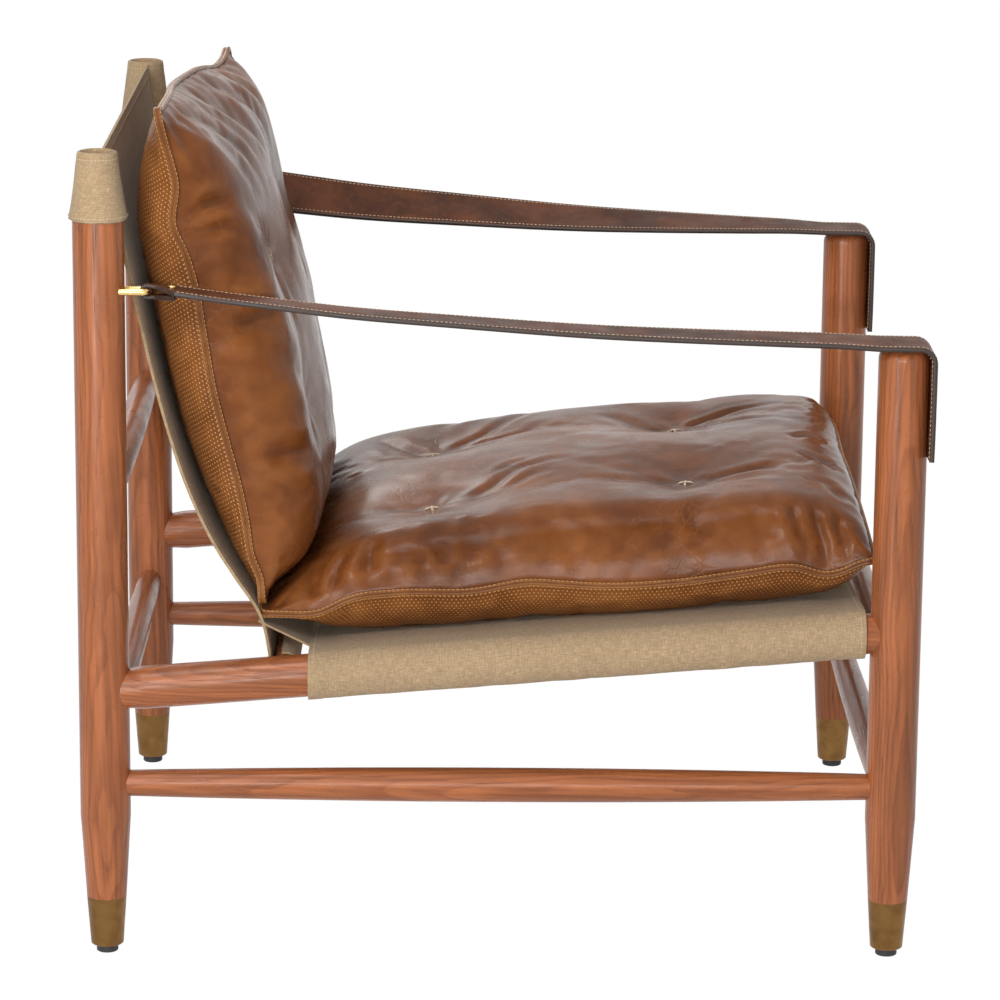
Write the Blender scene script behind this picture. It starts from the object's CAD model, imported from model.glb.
"""Dress a low lounge chair: a round hardwood frame, a canvas sling, two tufted
leather cushions and leather strap arms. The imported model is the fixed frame."""

from __future__ import annotations

import logging
import math
from collections.abc import Iterator
from contextlib import contextmanager
from dataclasses import dataclass, field
from enum import Enum

import bmesh
import bpy
import numpy as np
from bpy.types import ID, Material, Mesh, Node, NodeSocket, NodeTree, Object
from mathutils import Matrix, Vector

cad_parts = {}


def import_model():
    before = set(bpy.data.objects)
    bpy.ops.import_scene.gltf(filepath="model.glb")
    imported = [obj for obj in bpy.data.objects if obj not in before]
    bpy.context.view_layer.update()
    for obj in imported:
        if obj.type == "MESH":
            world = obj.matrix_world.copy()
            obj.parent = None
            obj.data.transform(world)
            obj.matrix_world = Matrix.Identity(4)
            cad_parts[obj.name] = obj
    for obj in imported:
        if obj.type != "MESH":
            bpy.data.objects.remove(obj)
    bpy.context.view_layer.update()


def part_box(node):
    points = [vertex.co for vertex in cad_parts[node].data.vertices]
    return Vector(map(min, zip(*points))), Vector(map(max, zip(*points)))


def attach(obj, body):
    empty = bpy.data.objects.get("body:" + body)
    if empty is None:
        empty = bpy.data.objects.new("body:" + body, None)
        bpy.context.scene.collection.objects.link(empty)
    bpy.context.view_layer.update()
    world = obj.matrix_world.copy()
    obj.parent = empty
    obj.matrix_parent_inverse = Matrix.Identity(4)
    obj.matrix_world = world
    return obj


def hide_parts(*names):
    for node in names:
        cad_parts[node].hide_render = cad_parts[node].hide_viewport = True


LOG = logging.getLogger("lounge_chair")
Point = tuple[float, float, float]
Colour = tuple[float, float, float]
HANDS = {"right": -1, "left": 1}  # Side of the chair, as the sign of x.


class Body(Enum):
    """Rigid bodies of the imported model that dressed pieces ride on."""

    FRAME = "frame"
    SEAT = "seat_cushion"
    BACK = "back_cushion"


class Slot(Enum):
    """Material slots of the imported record."""

    WOOD = "turned_wood"
    CANVAS = "canvas"
    HIDE = "cushion_leather"
    STRAP = "strap_leather"
    AGED_BRASS = "antique_brass"
    BRASS = "bright_brass"
    STEEL = "steel"
    PLASTIC = "black_plastic"
    THREAD = "thread"


class Axis(Enum):
    """Direction of the wood's grain in a turned member."""

    ACROSS = 0
    ALONG = 1
    UPRIGHT = 2


# Node trees

FLOAT = "NodeSocketFloat"
VECTOR = "NodeSocketVector"
GEOMETRY = "NodeSocketGeometry"
MATERIAL = "NodeSocketMaterial"


class Graph:
    """Short hand for filling a node tree, for shaders and geometry alike."""

    def __init__(self, tree: NodeTree) -> None:
        """Keep the tree that is filled."""
        self.tree = tree

    def fill(self, node: Node, inputs: dict) -> None:
        """Set a node's inputs, by name or index, or link the sockets that feed them."""
        for name, value in inputs.items():
            socket = node.inputs[name]
            if isinstance(value, NodeSocket):
                self.tree.links.new(value, socket)
            else:
                socket.default_value = value

    def add(self, kind: str, inputs: dict | None = None, **settings) -> Node:
        """Add one node of a kind; the settings are properties of the node itself."""
        node = self.tree.nodes.new(kind)
        for name, value in settings.items():
            setattr(node, name, value)
        self.fill(node, inputs or {})
        return node

    def math(self, operation: str, *values) -> NodeSocket:
        """Result of a Math node on numbers or sockets."""
        node = self.add("ShaderNodeMath", dict(enumerate(values)), operation=operation)
        return node.outputs[0]

    def vector(self, operation: str, *values) -> NodeSocket:
        """Vector result of a Vector Math node on vectors or sockets."""
        node = self.add("ShaderNodeVectorMath", dict(enumerate(values)), operation=operation)
        return node.outputs[0]

    def spread(self, value, low: float, high: float, start: float = 0.0, end: float = 1.0):
        """Map a value from low..high to start..end, smoothly and clamped."""
        inputs = {"Value": value, "From Min": low, "From Max": high, "To Min": start, "To Max": end}
        node = self.add("ShaderNodeMapRange", inputs, interpolation_type="SMOOTHSTEP")
        return node.outputs["Result"]

    def tint(self, factor, first, second, blend: str = "MIX") -> NodeSocket:
        """Mix two colours, given as colours or sockets."""
        plain = (float, NodeSocket)
        inputs = {
            index: value if isinstance(value, plain) else (*value, 1.0)
            for index, value in ((0, factor), (6, first), (7, second))
        }
        return self.add("ShaderNodeMix", inputs, data_type="RGBA", blend_type=blend).outputs[2]

    def combined(self, x, y=0.0, z=0.0) -> NodeSocket:
        """Vector of three numbers or sockets."""
        return self.add("ShaderNodeCombineXYZ", {0: x, 1: y, 2: z}).outputs[0]

    def scaled(self, vector, factor) -> NodeSocket:
        """Vector times a number."""
        return self.add("ShaderNodeVectorMath", {0: vector, "Scale": factor}, operation="SCALE").outputs[0]

    def noise(self, vector, scale: float, detail: float = 3.0, distortion: float = 0.0):
        """Value of a noise texture."""
        inputs = {"Vector": vector, "Scale": scale, "Detail": detail, "Distortion": distortion}
        return self.add("ShaderNodeTexNoise", inputs).outputs["Fac"]


def new_group(name: str, kind: str, inputs: list[tuple], outputs: list[tuple]) -> tuple:
    """Make an empty node group.

    Args:
        name: Name of the group.
        kind: Type of tree.
        inputs: Name, socket type and default value of each input.
        outputs: Name and socket type of each output.

    Returns:
        The graph, its group input node and its group output node.
    """
    tree = bpy.data.node_groups.new(name, kind)
    for label, socket_type, default in inputs:
        socket = tree.interface.new_socket(name=label, in_out="INPUT", socket_type=socket_type)
        if default is not None:
            socket.default_value = default
    for label, socket_type in outputs:
        tree.interface.new_socket(name=label, in_out="OUTPUT", socket_type=socket_type)
    graph = Graph(tree)
    return graph, graph.add("NodeGroupInput"), graph.add("NodeGroupOutput")


def new_geometry_group(name: str, inputs: list[tuple]) -> tuple:
    """Make an empty geometry group, which takes and gives geometry."""
    geometry = [("Geometry", GEOMETRY, None), *inputs]
    return new_group(name, "GeometryNodeTree", geometry, [("Geometry", GEOMETRY)])


def end_instances(graph: Graph, placed: Node, material: NodeSocket,
                  sink: Node, smooth: bool) -> NodeTree:
    """Realize the instances, set their material and end the tree."""
    last = graph.add("GeometryNodeRealizeInstances", {"Geometry": placed.outputs[0]})
    if smooth:
        last = graph.add("GeometryNodeSetShadeSmooth", {"Geometry": last.outputs[0]})
    last = graph.add("GeometryNodeSetMaterial", {"Geometry": last.outputs[0], "Material": material})
    graph.fill(sink, {0: last.outputs[0]})
    return graph.tree


class SurfaceGroups:
    """Shader node groups that several finishes share, each built once."""

    def __init__(self) -> None:
        """Build every shared group."""
        self.hide = self._hide()
        self.weave = self._weave()
        self.rings = self._rings()
        self.smudge = self._smudge()

    @staticmethod
    def _hide() -> NodeTree:
        """Leather: tone patches, pale pull-up marks and a fine pebbled grain."""
        graph, source, sink = new_group(
            "hide_surface",
            "ShaderNodeTree",
            [("Vector", VECTOR, None), ("Patch Scale", FLOAT, 9.0), ("Grain Scale", FLOAT, 900.0)],
            [("Patches", FLOAT), ("Marks", FLOAT), ("Grain", FLOAT)],
        )
        vector = source.outputs["Vector"]
        patch = source.outputs["Patch Scale"]
        broad = graph.noise(vector, patch, 4.0, 0.5)
        fine = graph.noise(vector, graph.math("MULTIPLY", patch, 5.0), 4.0, 0.8)
        patches = graph.math("ADD", graph.math("MULTIPLY", broad, 0.68), graph.math("MULTIPLY", fine, 0.32))
        bend = graph.add("ShaderNodeTexNoise", {"Vector": vector, "Scale": 40.0, "Detail": 4.0})
        bent = graph.vector("ADD", vector, graph.scaled(bend.outputs["Color"], 0.022))
        cells = graph.add("ShaderNodeTexVoronoi", {"Vector": bent, "Scale": 52.0}, feature="DISTANCE_TO_EDGE")
        lines = graph.spread(cells.outputs["Distance"], 0.0, 0.06, 1.0, 0.0)
        where = graph.spread(graph.noise(vector, 14.0, 2.0), 0.5, 0.68)
        marks = graph.math("MULTIPLY", lines, where)
        grain_scale = source.outputs["Grain Scale"]
        pebble = graph.add("ShaderNodeTexVoronoi", {"Vector": vector, "Scale": grain_scale}, feature="SMOOTH_F1")
        soft = graph.noise(vector, graph.math("MULTIPLY", grain_scale, 0.32), 3.0)
        grain = graph.math("ADD", graph.math("MULTIPLY", pebble.outputs["Distance"], 0.5), soft)
        graph.fill(sink, {"Patches": patches, "Marks": marks, "Grain": grain})
        return graph.tree

    @staticmethod
    def _weave() -> NodeTree:
        """Plain woven cloth on a UV map in metres."""
        graph, source, sink = new_group(
            "plain_weave",
            "ShaderNodeTree",
            [("Vector", VECTOR, None), ("Thread Pitch", FLOAT, 0.0011)],
            [("Height", FLOAT), ("Slub", FLOAT)],
        )
        pitch = source.outputs["Thread Pitch"]
        parts = graph.add("ShaderNodeSeparateXYZ", {0: source.outputs["Vector"]})
        waves, steps = [], []
        for part in parts.outputs[:2]:
            turn = graph.math("DIVIDE", graph.math("MULTIPLY", part, math.pi), pitch)
            waves.append(graph.math("ABSOLUTE", graph.math("SINE", turn)))
            steps.append(graph.math("FLOOR", graph.math("DIVIDE", part, pitch)))
        parity = graph.math("PINGPONG", graph.math("ADD", *steps), 1.0)
        over = graph.math("MULTIPLY", waves[0], parity)
        under = graph.math("MULTIPLY", waves[1], graph.math("SUBTRACT", 1.0, parity))
        slubs = [
            graph.noise(graph.vector("MULTIPLY", source.outputs["Vector"], rates), 1.0, 2.0)
            for rates in ((110.0, 1000.0, 1.0), (1000.0, 110.0, 1.0))
        ]
        slub = graph.math("MULTIPLY", graph.math("ADD", *slubs), 0.5)
        graph.fill(sink, {"Height": graph.math("ADD", over, under), "Slub": slub})
        return graph.tree

    @staticmethod
    def _rings() -> NodeTree:
        """Growth rings cut by a turned member, with pores along its grain."""
        graph, source, sink = new_group(
            "growth_rings",
            "ShaderNodeTree",
            [("Vector", VECTOR, None), ("Ring Spacing", FLOAT, 0.0040), ("Wander", FLOAT, 0.022)],
            [("Rings", FLOAT), ("Pores", FLOAT), ("Tone", FLOAT)],
        )
        vector = source.outputs["Vector"]
        slow = graph.vector("MULTIPLY", vector, (16.0, 16.0, 5.0))
        warp = graph.math("MULTIPLY", graph.noise(slow, 1.0, 3.0, 0.3), source.outputs["Wander"])
        parts = graph.add("ShaderNodeSeparateXYZ", {0: vector})
        squares = [graph.math("MULTIPLY", part, part) for part in parts.outputs[:2]]
        reach = graph.math("SQRT", graph.math("ADD", squares[0], squares[1]))
        place = graph.math("DIVIDE", graph.math("ADD", reach, warp), source.outputs["Ring Spacing"])
        saw = graph.math("FRACT", place)
        late = graph.math("MULTIPLY", graph.spread(saw, 0.25, 0.88), graph.spread(saw, 0.9, 1.0, 1.0, 0.0))
        fibre = graph.vector("MULTIPLY", vector, (800.0, 800.0, 16.0))
        streaks = graph.noise(fibre, 1.0, 3.0, 0.2)
        pores = graph.math("MULTIPLY", graph.spread(streaks, 0.56, 0.72), graph.spread(late, 0.1, 0.8, 0.35, 1.0))
        tone = graph.noise(graph.vector("MULTIPLY", vector, (150.0, 150.0, 6.0)), 1.0, 3.0)
        graph.fill(sink, {"Rings": late, "Pores": pores, "Tone": tone})
        return graph.tree

    @staticmethod
    def _smudge() -> NodeTree:
        """Handling marks and fine speckle that break up a gloss."""
        graph, source, sink = new_group(
            "handling_marks",
            "ShaderNodeTree",
            [("Vector", VECTOR, None), ("Scale", FLOAT, 40.0)],
            [("Smudge", FLOAT), ("Speckle", FLOAT)],
        )
        vector, scale = source.outputs["Vector"], source.outputs["Scale"]
        smudge = graph.noise(vector, scale, 4.0, 0.6)
        speckle = graph.noise(vector, graph.math("MULTIPLY", scale, 30.0), 2.0)
        graph.fill(sink, {"Smudge": smudge, "Speckle": speckle})
        return graph.tree


class Surface:
    """One material under construction, around its own Principled shader."""

    def __init__(self, name: str) -> None:
        """Start an empty material."""
        self.material = bpy.data.materials.new(name)
        self.material.use_nodes = True
        self.graph = Graph(self.material.node_tree)
        self.shader = self.material.node_tree.nodes["Principled BSDF"]
        self.coordinates = self.graph.add("ShaderNodeTexCoord")

    def fixed(self, **values) -> None:
        """Set constants on the shader's own sockets; names use underscores for spaces."""
        for name, value in values.items():
            self.shader.inputs[name.replace("_", " ")].default_value = value

    def feed(self, name: str, value: NodeSocket) -> None:
        """Link a varying value to a socket of the shader."""
        self.graph.fill(self.shader, {name: value})

    def group(self, tree: NodeTree, **inputs) -> Node:
        """Place a shared group; input names use underscores for spaces."""
        named = {name.replace("_", " "): value for name, value in inputs.items()}
        return self.graph.add("ShaderNodeGroup", named, node_tree=tree)

    def handled(self, groups: SurfaceGroups, scale: float) -> Node:
        """Place the handling marks over the piece's own coordinates."""
        return self.group(groups.smudge, Vector=self.coordinates.outputs["Object"], Scale=scale)

    def gloss(self, smudge: Node, roughness: tuple[float, float]) -> NodeSocket:
        """Roughness that handling marks move between two values."""
        return self.graph.spread(smudge.outputs["Smudge"], 0.3, 0.7, *roughness)

    def attribute(self, name: str, output: str = "Fac") -> NodeSocket:
        """Socket of a mesh attribute."""
        return self.graph.add("ShaderNodeAttribute", attribute_name=name).outputs[output]

    def bump(self, layers: list[tuple]) -> None:
        """Chain bump layers, given as height socket and depth in metres, into Normal."""
        normal = None
        for height, distance in layers:
            inputs = {"Height": height, "Distance": distance, "Strength": 1.0}
            if normal is not None:
                inputs["Normal"] = normal
            normal = self.graph.add("ShaderNodeBump", inputs).outputs["Normal"]
        self.feed("Normal", normal)


# Finishes


@dataclass(frozen=True)
class HideFinish:
    """Waxed cushion leather, mottled, with pale pull-up and darker hollows."""

    name: str
    deep: Colour
    body: Colour
    pull_up: Colour
    roughness: tuple[float, float] = (0.20, 0.32)
    coat: float = 0.03
    patch_scale: float = 8.0
    grain_scale: float = 900.0
    grain_depth: float = 0.00012
    hollow_share: float = 0.55

    def build(self, groups: SurfaceGroups) -> Material:
        """Make the material."""
        surface = Surface(self.name)
        graph = surface.graph
        place = surface.coordinates.outputs["Object"]
        hide = surface.group(groups.hide, Vector=place, Patch_Scale=self.patch_scale, Grain_Scale=self.grain_scale)
        patches = hide.outputs["Patches"]
        colour = graph.tint(graph.spread(patches, 0.34, 0.56, 0.35, 1.0), self.deep, self.body)
        colour = graph.tint(graph.spread(patches, 0.50, 0.72, 0.0, 0.55), colour, self.pull_up)
        colour = graph.tint(graph.math("MULTIPLY", hide.outputs["Marks"], 0.32), colour, self.pull_up)
        hollow = surface.attribute("hollow")
        ridge = graph.spread(hollow, 0.1, 1.0, 0.0, 0.3)
        valley = graph.spread(hollow, -1.0, -0.05, self.hollow_share, 0.0)
        colour = graph.tint(ridge, colour, self.pull_up)
        colour = graph.tint(valley, colour, self.deep)
        surface.feed("Base Color", colour)
        surface.feed("Roughness", surface.gloss(surface.handled(groups, 24.0), self.roughness))
        surface.bump([(hide.outputs["Grain"], self.grain_depth), (hide.outputs["Marks"], -self.grain_depth)])
        surface.fixed(Coat_Weight=self.coat, Coat_Roughness=0.2, Specular_IOR_Level=0.18, IOR=1.45)
        return surface.material


@dataclass(frozen=True)
class StrapFinish:
    """Thick saddle leather, darker and tighter than the cushions' hide."""

    name: str
    deep: Colour
    body: Colour
    roughness: tuple[float, float] = (0.44, 0.58)

    def build(self, groups: SurfaceGroups) -> Material:
        """Make the material."""
        surface = Surface(self.name)
        graph = surface.graph
        place = surface.coordinates.outputs["Object"]
        hide = surface.group(groups.hide, Vector=place, Patch_Scale=16.0, Grain_Scale=1300.0)
        colour = graph.tint(graph.spread(hide.outputs["Patches"], 0.36, 0.66), self.deep, self.body)
        surface.feed("Base Color", colour)
        surface.feed("Roughness", surface.gloss(surface.handled(groups, 30.0), self.roughness))
        surface.bump([(hide.outputs["Grain"], 0.00008)])
        surface.fixed(Specular_IOR_Level=0.14)
        return surface.material


@dataclass(frozen=True)
class WoodFinish:
    """Oiled reddish-brown hardwood with growth rings and open pores."""

    name: str
    early: Colour
    late: Colour
    pore: Colour
    roughness: tuple[float, float] = (0.25, 0.34)

    def build(self, groups: SurfaceGroups) -> Material:
        """Make the material, which reads the member's own grain coordinates."""
        surface = Surface(self.name)
        graph = surface.graph
        place = surface.attribute("grain", "Vector")
        rings = surface.group(groups.rings, Vector=place)
        colour = graph.tint(graph.math("MULTIPLY", rings.outputs["Rings"], 0.5), self.early, self.late)
        tone = graph.spread(rings.outputs["Tone"], 0.3, 0.7, 0.7, 1.15)
        colour = graph.tint(1.0, colour, graph.combined(tone, tone, tone), "MULTIPLY")
        colour = graph.tint(graph.math("MULTIPLY", rings.outputs["Pores"], 0.55), colour, self.pore)
        surface.feed("Base Color", colour)
        gloss = surface.gloss(surface.handled(groups, 18.0), self.roughness)
        surface.feed("Roughness", graph.math("ADD", gloss, graph.math("MULTIPLY", rings.outputs["Pores"], 0.2)))
        surface.bump([(rings.outputs["Pores"], -0.00012), (rings.outputs["Rings"], 0.00003)])
        surface.fixed(Specular_IOR_Level=0.32)
        return surface.material


@dataclass(frozen=True)
class CanvasFinish:
    """Heavy plain-woven cotton canvas, read on each piece's UV map in metres."""

    name: str
    shade: Colour
    light: Colour
    thread_pitch: float = 0.0009

    def build(self, groups: SurfaceGroups) -> Material:
        """Make the material."""
        surface = Surface(self.name)
        graph = surface.graph
        chart = surface.coordinates.outputs["UV"]
        weave = surface.group(groups.weave, Vector=chart, Thread_Pitch=self.thread_pitch)
        smudge = surface.handled(groups, 20.0)
        colour = graph.tint(graph.spread(weave.outputs["Slub"], 0.3, 0.7), self.shade, self.light)
        colour = graph.tint(graph.spread(smudge.outputs["Speckle"], 0.3, 0.7, 0.55, 0.0), colour, self.shade)
        colour = graph.tint(graph.spread(weave.outputs["Height"], 0.0, 0.5, 0.3, 0.0), colour, self.shade)
        colour = graph.tint(graph.spread(smudge.outputs["Smudge"], 0.3, 0.75, 0.0, 0.25), colour, self.shade)
        surface.feed("Base Color", colour)
        surface.bump([(weave.outputs["Height"], 0.00012), (weave.outputs["Slub"], 0.00015)])
        surface.fixed(Roughness=0.88, Sheen_Weight=0.15, Sheen_Roughness=0.5, Specular_IOR_Level=0.25)
        return surface.material


@dataclass(frozen=True)
class PlainFinish:
    """Metal, plastic, thread or edge paint, with handling marks in its gloss."""

    name: str
    body: Colour
    worn: Colour
    metallic: float = 0.0
    roughness: tuple[float, float] = (0.4, 0.55)
    scale: float = 60.0
    bump_depth: float = 0.00002

    def build(self, groups: SurfaceGroups) -> Material:
        """Make the material."""
        surface = Surface(self.name)
        smudge = surface.handled(groups, self.scale)
        wear = surface.graph.spread(smudge.outputs["Smudge"], 0.35, 0.7)
        surface.feed("Base Color", surface.graph.tint(wear, self.body, self.worn))
        surface.feed("Roughness", surface.gloss(smudge, self.roughness))
        surface.bump([(smudge.outputs["Speckle"], self.bump_depth)])
        surface.fixed(Metallic=self.metallic)
        return surface.material


class Finishes:
    """Every finish of the chair, as built materials."""

    def __init__(self) -> None:
        """Build the shared groups and the materials."""
        self.groups = SurfaceGroups()
        self.hide = self.made(
            HideFinish, "waxed_hide", (0.060, 0.017, 0.005), (0.172, 0.052, 0.013), (0.32, 0.115, 0.032)
        )
        self.punched = self.made(
            HideFinish, "punched_hide", (0.105, 0.034, 0.010), (0.215, 0.073, 0.019), (0.36, 0.145, 0.042),
            roughness=(0.32, 0.46), grain_scale=520.0, grain_depth=0.00022,
        )
        self.rolled = self.made(
            HideFinish, "rolled_hide", (0.10, 0.034, 0.010), (0.20, 0.072, 0.019), (0.36, 0.16, 0.05)
        )
        self.strap = self.made(StrapFinish, "saddle_leather", (0.055, 0.019, 0.009), (0.142, 0.047, 0.020))
        self.wood = self.made(
            WoodFinish, "oiled_hardwood", (0.37, 0.120, 0.043), (0.215, 0.061, 0.021), (0.100, 0.027, 0.010)
        )
        self.canvas = self.made(CanvasFinish, "sling_canvas", (0.315, 0.216, 0.120), (0.61, 0.450, 0.276))
        self.aged_brass = self.metal("aged_brass", (0.225, 0.120, 0.041), (0.175, 0.088, 0.029), (0.34, 0.46))
        self.brass = self.metal("polished_brass", (0.85, 0.62, 0.25), (0.7, 0.46, 0.16), (0.16, 0.3))
        self.steel = self.metal("plated_steel", (0.6, 0.6, 0.62), (0.45, 0.45, 0.46), (0.3, 0.45))
        self.plastic = self.coating("moulded_black", (0.018, 0.018, 0.019), (0.03, 0.03, 0.031), (0.5, 0.65))
        self.edge = self.coating("edge_paint", (0.022, 0.012, 0.009), (0.04, 0.02, 0.013), (0.4, 0.6))
        self.tan_thread = self.thread("tan_thread", (0.52, 0.25, 0.075), (0.62, 0.34, 0.12), (0.5, 0.7))
        self.canvas_thread = self.thread("canvas_thread", (0.56, 0.46, 0.31), (0.72, 0.61, 0.44), (0.7, 0.9))
        self.cream_thread = self.thread("cream_thread", (0.62, 0.48, 0.33), (0.75, 0.6, 0.43), (0.55, 0.75))
        self.pinhole = self.thread("pinhole_lining", (0.55, 0.3, 0.11), (0.75, 0.47, 0.2), (0.5, 0.7))

    def made(self, kind: type, *values, **settings) -> Material:
        """Build one finish of a kind."""
        return kind(*values, **settings).build(self.groups)

    def metal(self, name: str, body: Colour, worn: Colour, roughness: tuple) -> Material:
        """Build a metal."""
        return self.made(PlainFinish, name, body, worn, 1.0, roughness)

    def coating(self, name: str, body: Colour, worn: Colour, roughness: tuple) -> Material:
        """Build a plastic or a paint."""
        return self.made(PlainFinish, name, body, worn, 0.0, roughness)

    def thread(self, name: str, body: Colour, worn: Colour, roughness: tuple) -> Material:
        """Build a fine fibre, whose marks are small."""
        return self.made(PlainFinish, name, body, worn, 0.0, roughness, 300.0)


# Meshes


def linked(name: str, data: ID) -> Object:
    """Make an object of some data in the scene."""
    piece = bpy.data.objects.new(name, data)
    bpy.context.scene.collection.objects.link(piece)
    return piece


@contextmanager
def edited(data: Mesh) -> Iterator[bmesh.types.BMesh]:
    """A mesh's editable form, written back at the end."""
    mesh = bmesh.new()
    mesh.from_mesh(data)
    yield mesh
    mesh.to_mesh(data)
    mesh.free()


def make_object(name: str, points: np.ndarray, faces: list, materials: list) -> Object:
    """Link a smooth mesh object.

    Args:
        name: Name of the piece.
        points: One row of three numbers for each vertex, in metres.
        faces: Vertex numbers of each face.
        materials: Materials in slot order.

    Returns:
        The new object, at the origin.
    """
    mesh = bpy.data.meshes.new(name)
    mesh.from_pydata([tuple(point) for point in points], [], [tuple(face) for face in faces])
    mesh.validate()
    for material in materials:
        mesh.materials.append(material)
    mesh.shade_smooth()
    return linked(name, mesh)


def mark_sharp(mesh: bmesh.types.BMesh, degrees: float) -> None:
    """Mark edges that turn by more than an angle as sharp."""
    for edge in mesh.edges:
        edge.smooth = edge.calc_face_angle(0.0) < math.radians(degrees)


def sharpen(piece: Object, degrees: float) -> None:
    """Mark a piece's edges that turn by more than an angle as sharp."""
    with edited(piece.data) as mesh:
        mark_sharp(mesh, degrees)


def set_attribute(piece: Object, name: str, values: np.ndarray) -> None:
    """Store one number, or one vector, for each vertex."""
    kind, key = ("FLOAT", "value") if values.ndim == 1 else ("FLOAT_VECTOR", "vector")
    layer = piece.data.attributes.new(name, kind, "POINT")
    layer.data.foreach_set(key, values.astype(np.float32).ravel())


def set_uv(piece: Object, per_vertex: np.ndarray) -> None:
    """Store a UV map from one pair of numbers for each vertex."""
    layer = piece.data.uv_layers.new(name="UVMap")
    loops = np.zeros(len(piece.data.loops), np.int32)
    piece.data.loops.foreach_get("vertex_index", loops)
    layer.data.foreach_set("uv", per_vertex[loops].astype(np.float32).ravel())


def grid_faces(rows: int, columns: int, wrap: bool = False, start: int = 0) -> list:
    """Quads of a grid of rows by columns vertices, numbered row by row.

    Args:
        rows: Vertices along the grid.
        columns: Vertices across it.
        wrap: Whether the columns close to a tube.
        start: Number of the first vertex.

    Returns:
        The faces.
    """
    faces = []
    for row in range(rows - 1):
        for column in range(columns if wrap else columns - 1):
            after = (column + 1) % columns
            low = start + row * columns
            faces.append((low + column, low + after, low + columns + after, low + columns + column))
    return faces


def recalculated(piece: Object) -> Object:
    """Turn a closed mesh's faces outwards."""
    with edited(piece.data) as mesh:
        bmesh.ops.recalc_face_normals(mesh, faces=mesh.faces)
    return piece


def dress(piece: Object, body: Body | str, slot: Slot, *nodes: str) -> Object:
    """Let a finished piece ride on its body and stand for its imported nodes."""
    name = body.value if isinstance(body, Body) else body
    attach(piece, name)
    if nodes:
        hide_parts(*nodes)
    LOG.info("%s rides on %s, %d faces", piece.name, name, len(piece.data.polygons))
    return piece


def distances(points: np.ndarray) -> np.ndarray:
    """Distance run along a line at each of its points."""
    return np.concatenate([[0.0], np.cumsum(np.linalg.norm(np.diff(points, axis=0), axis=1))])


def interpolated(places: np.ndarray, runs: np.ndarray, points: np.ndarray) -> np.ndarray:
    """Points at given distances along a line."""
    return np.column_stack([np.interp(places, runs, column) for column in points.T])


def unit(vectors: np.ndarray) -> np.ndarray:
    """Vectors, one to a row, at a length of one."""
    return vectors / np.linalg.norm(vectors, axis=1)[:, None]


def grid_runs(grid: np.ndarray, axis: int) -> np.ndarray:
    """Distance run over a grid of points along one of its axes."""
    steps = np.linalg.norm(np.diff(grid, axis=axis), axis=2)
    start = np.zeros_like(steps.take([0], axis=axis))
    return np.concatenate([start, np.cumsum(steps, axis=axis)], axis=axis)


def rim_of(grid: np.ndarray) -> np.ndarray:
    """A grid's border, once round."""
    return np.concatenate([grid[0, :-1], grid[:-1, -1], grid[-1, :0:-1], grid[:0:-1, 0]])


def border_mask(shape: tuple[int, int]) -> np.ndarray:
    """True on a grid's border."""
    mask = np.ones(shape, bool)
    mask[1:-1, 1:-1] = False
    return mask


def eased(part: np.ndarray) -> np.ndarray:
    """Share of a move that starts and ends softly."""
    return part * part * (3 - 2 * part)


def resampled(points: np.ndarray, step: float, closed: bool = False) -> np.ndarray:
    """Points evenly spaced along a line.

    Args:
        points: The line's corners.
        step: Wanted spacing in metres.
        closed: Whether the line returns to its start.

    Returns:
        The new points, without a repeated last one on a closed line.
    """
    line = np.vstack([points, points[:1]]) if closed else np.asarray(points)
    runs = distances(line)
    count = max(int(round(runs[-1] / step)), 2)
    found = interpolated(np.linspace(0.0, runs[-1], count + 1), runs, line)
    return found[:-1] if closed else found


def smooth_line(points: np.ndarray, closed: bool = False, rounds: int = 3) -> np.ndarray:
    """Round a line's corners by averaging neighbours; open ends stay."""
    line = np.array(points, float)
    for _ in range(rounds):
        before, after = np.roll(line, 1, axis=0), np.roll(line, -1, axis=0)
        mean = (before + 2 * line + after) / 4
        if not closed:
            mean[0], mean[-1] = line[0], line[-1]
        line = mean
    return line


def curved(places: np.ndarray, knots: list, values: list) -> np.ndarray:
    """Smooth curve through knots, by cubic pieces with averaged slopes."""
    knots, values = np.asarray(knots, float), np.asarray(values, float)
    slopes = np.gradient(values, knots)
    index = np.clip(np.searchsorted(knots, places, side="right") - 1, 0, len(knots) - 2)
    width = knots[index + 1] - knots[index]
    part = np.clip((places - knots[index]) / width, 0.0, 1.0)
    first = (1 + 2 * part) * (1 - part) ** 2 * values[index] + part * (1 - part) ** 2 * width * slopes[index]
    second = part**2 * (3 - 2 * part) * values[index + 1] - part**2 * (1 - part) * width * slopes[index + 1]
    return first + second


def swept(name: str, line: np.ndarray, outward: np.ndarray, upward: np.ndarray, profile: np.ndarray,
          closed: bool, materials: list) -> Object:
    """Sweep a closed profile along a line.

    Args:
        name: Name of the piece.
        line: Points along the path.
        outward: Direction of the profile's first coordinate at each point.
        upward: Direction of its second coordinate.
        profile: Closed outline, in metres.
        closed: Whether the path closes on itself.
        materials: Materials in slot order.

    Returns:
        The swept piece, its ends capped where the path is open.
    """
    sideways = profile[None, :, :1] * outward[:, None, :]
    rings = line[:, None, :] + sideways + profile[None, :, 1:] * upward[:, None, :]
    rows, columns = rings.shape[:2]
    points = rings.reshape(-1, 3)
    faces = grid_faces(rows, columns, wrap=True)
    if closed:
        last = (rows - 1) * columns
        faces += [(last + i, last + (i + 1) % columns, (i + 1) % columns, i) for i in range(columns)]
    else:
        faces.append(tuple(range(columns))[::-1])
        faces.append(tuple(range((rows - 1) * columns, rows * columns)))
    return recalculated(make_object(name, points, faces, materials))


# Geometry Nodes


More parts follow.
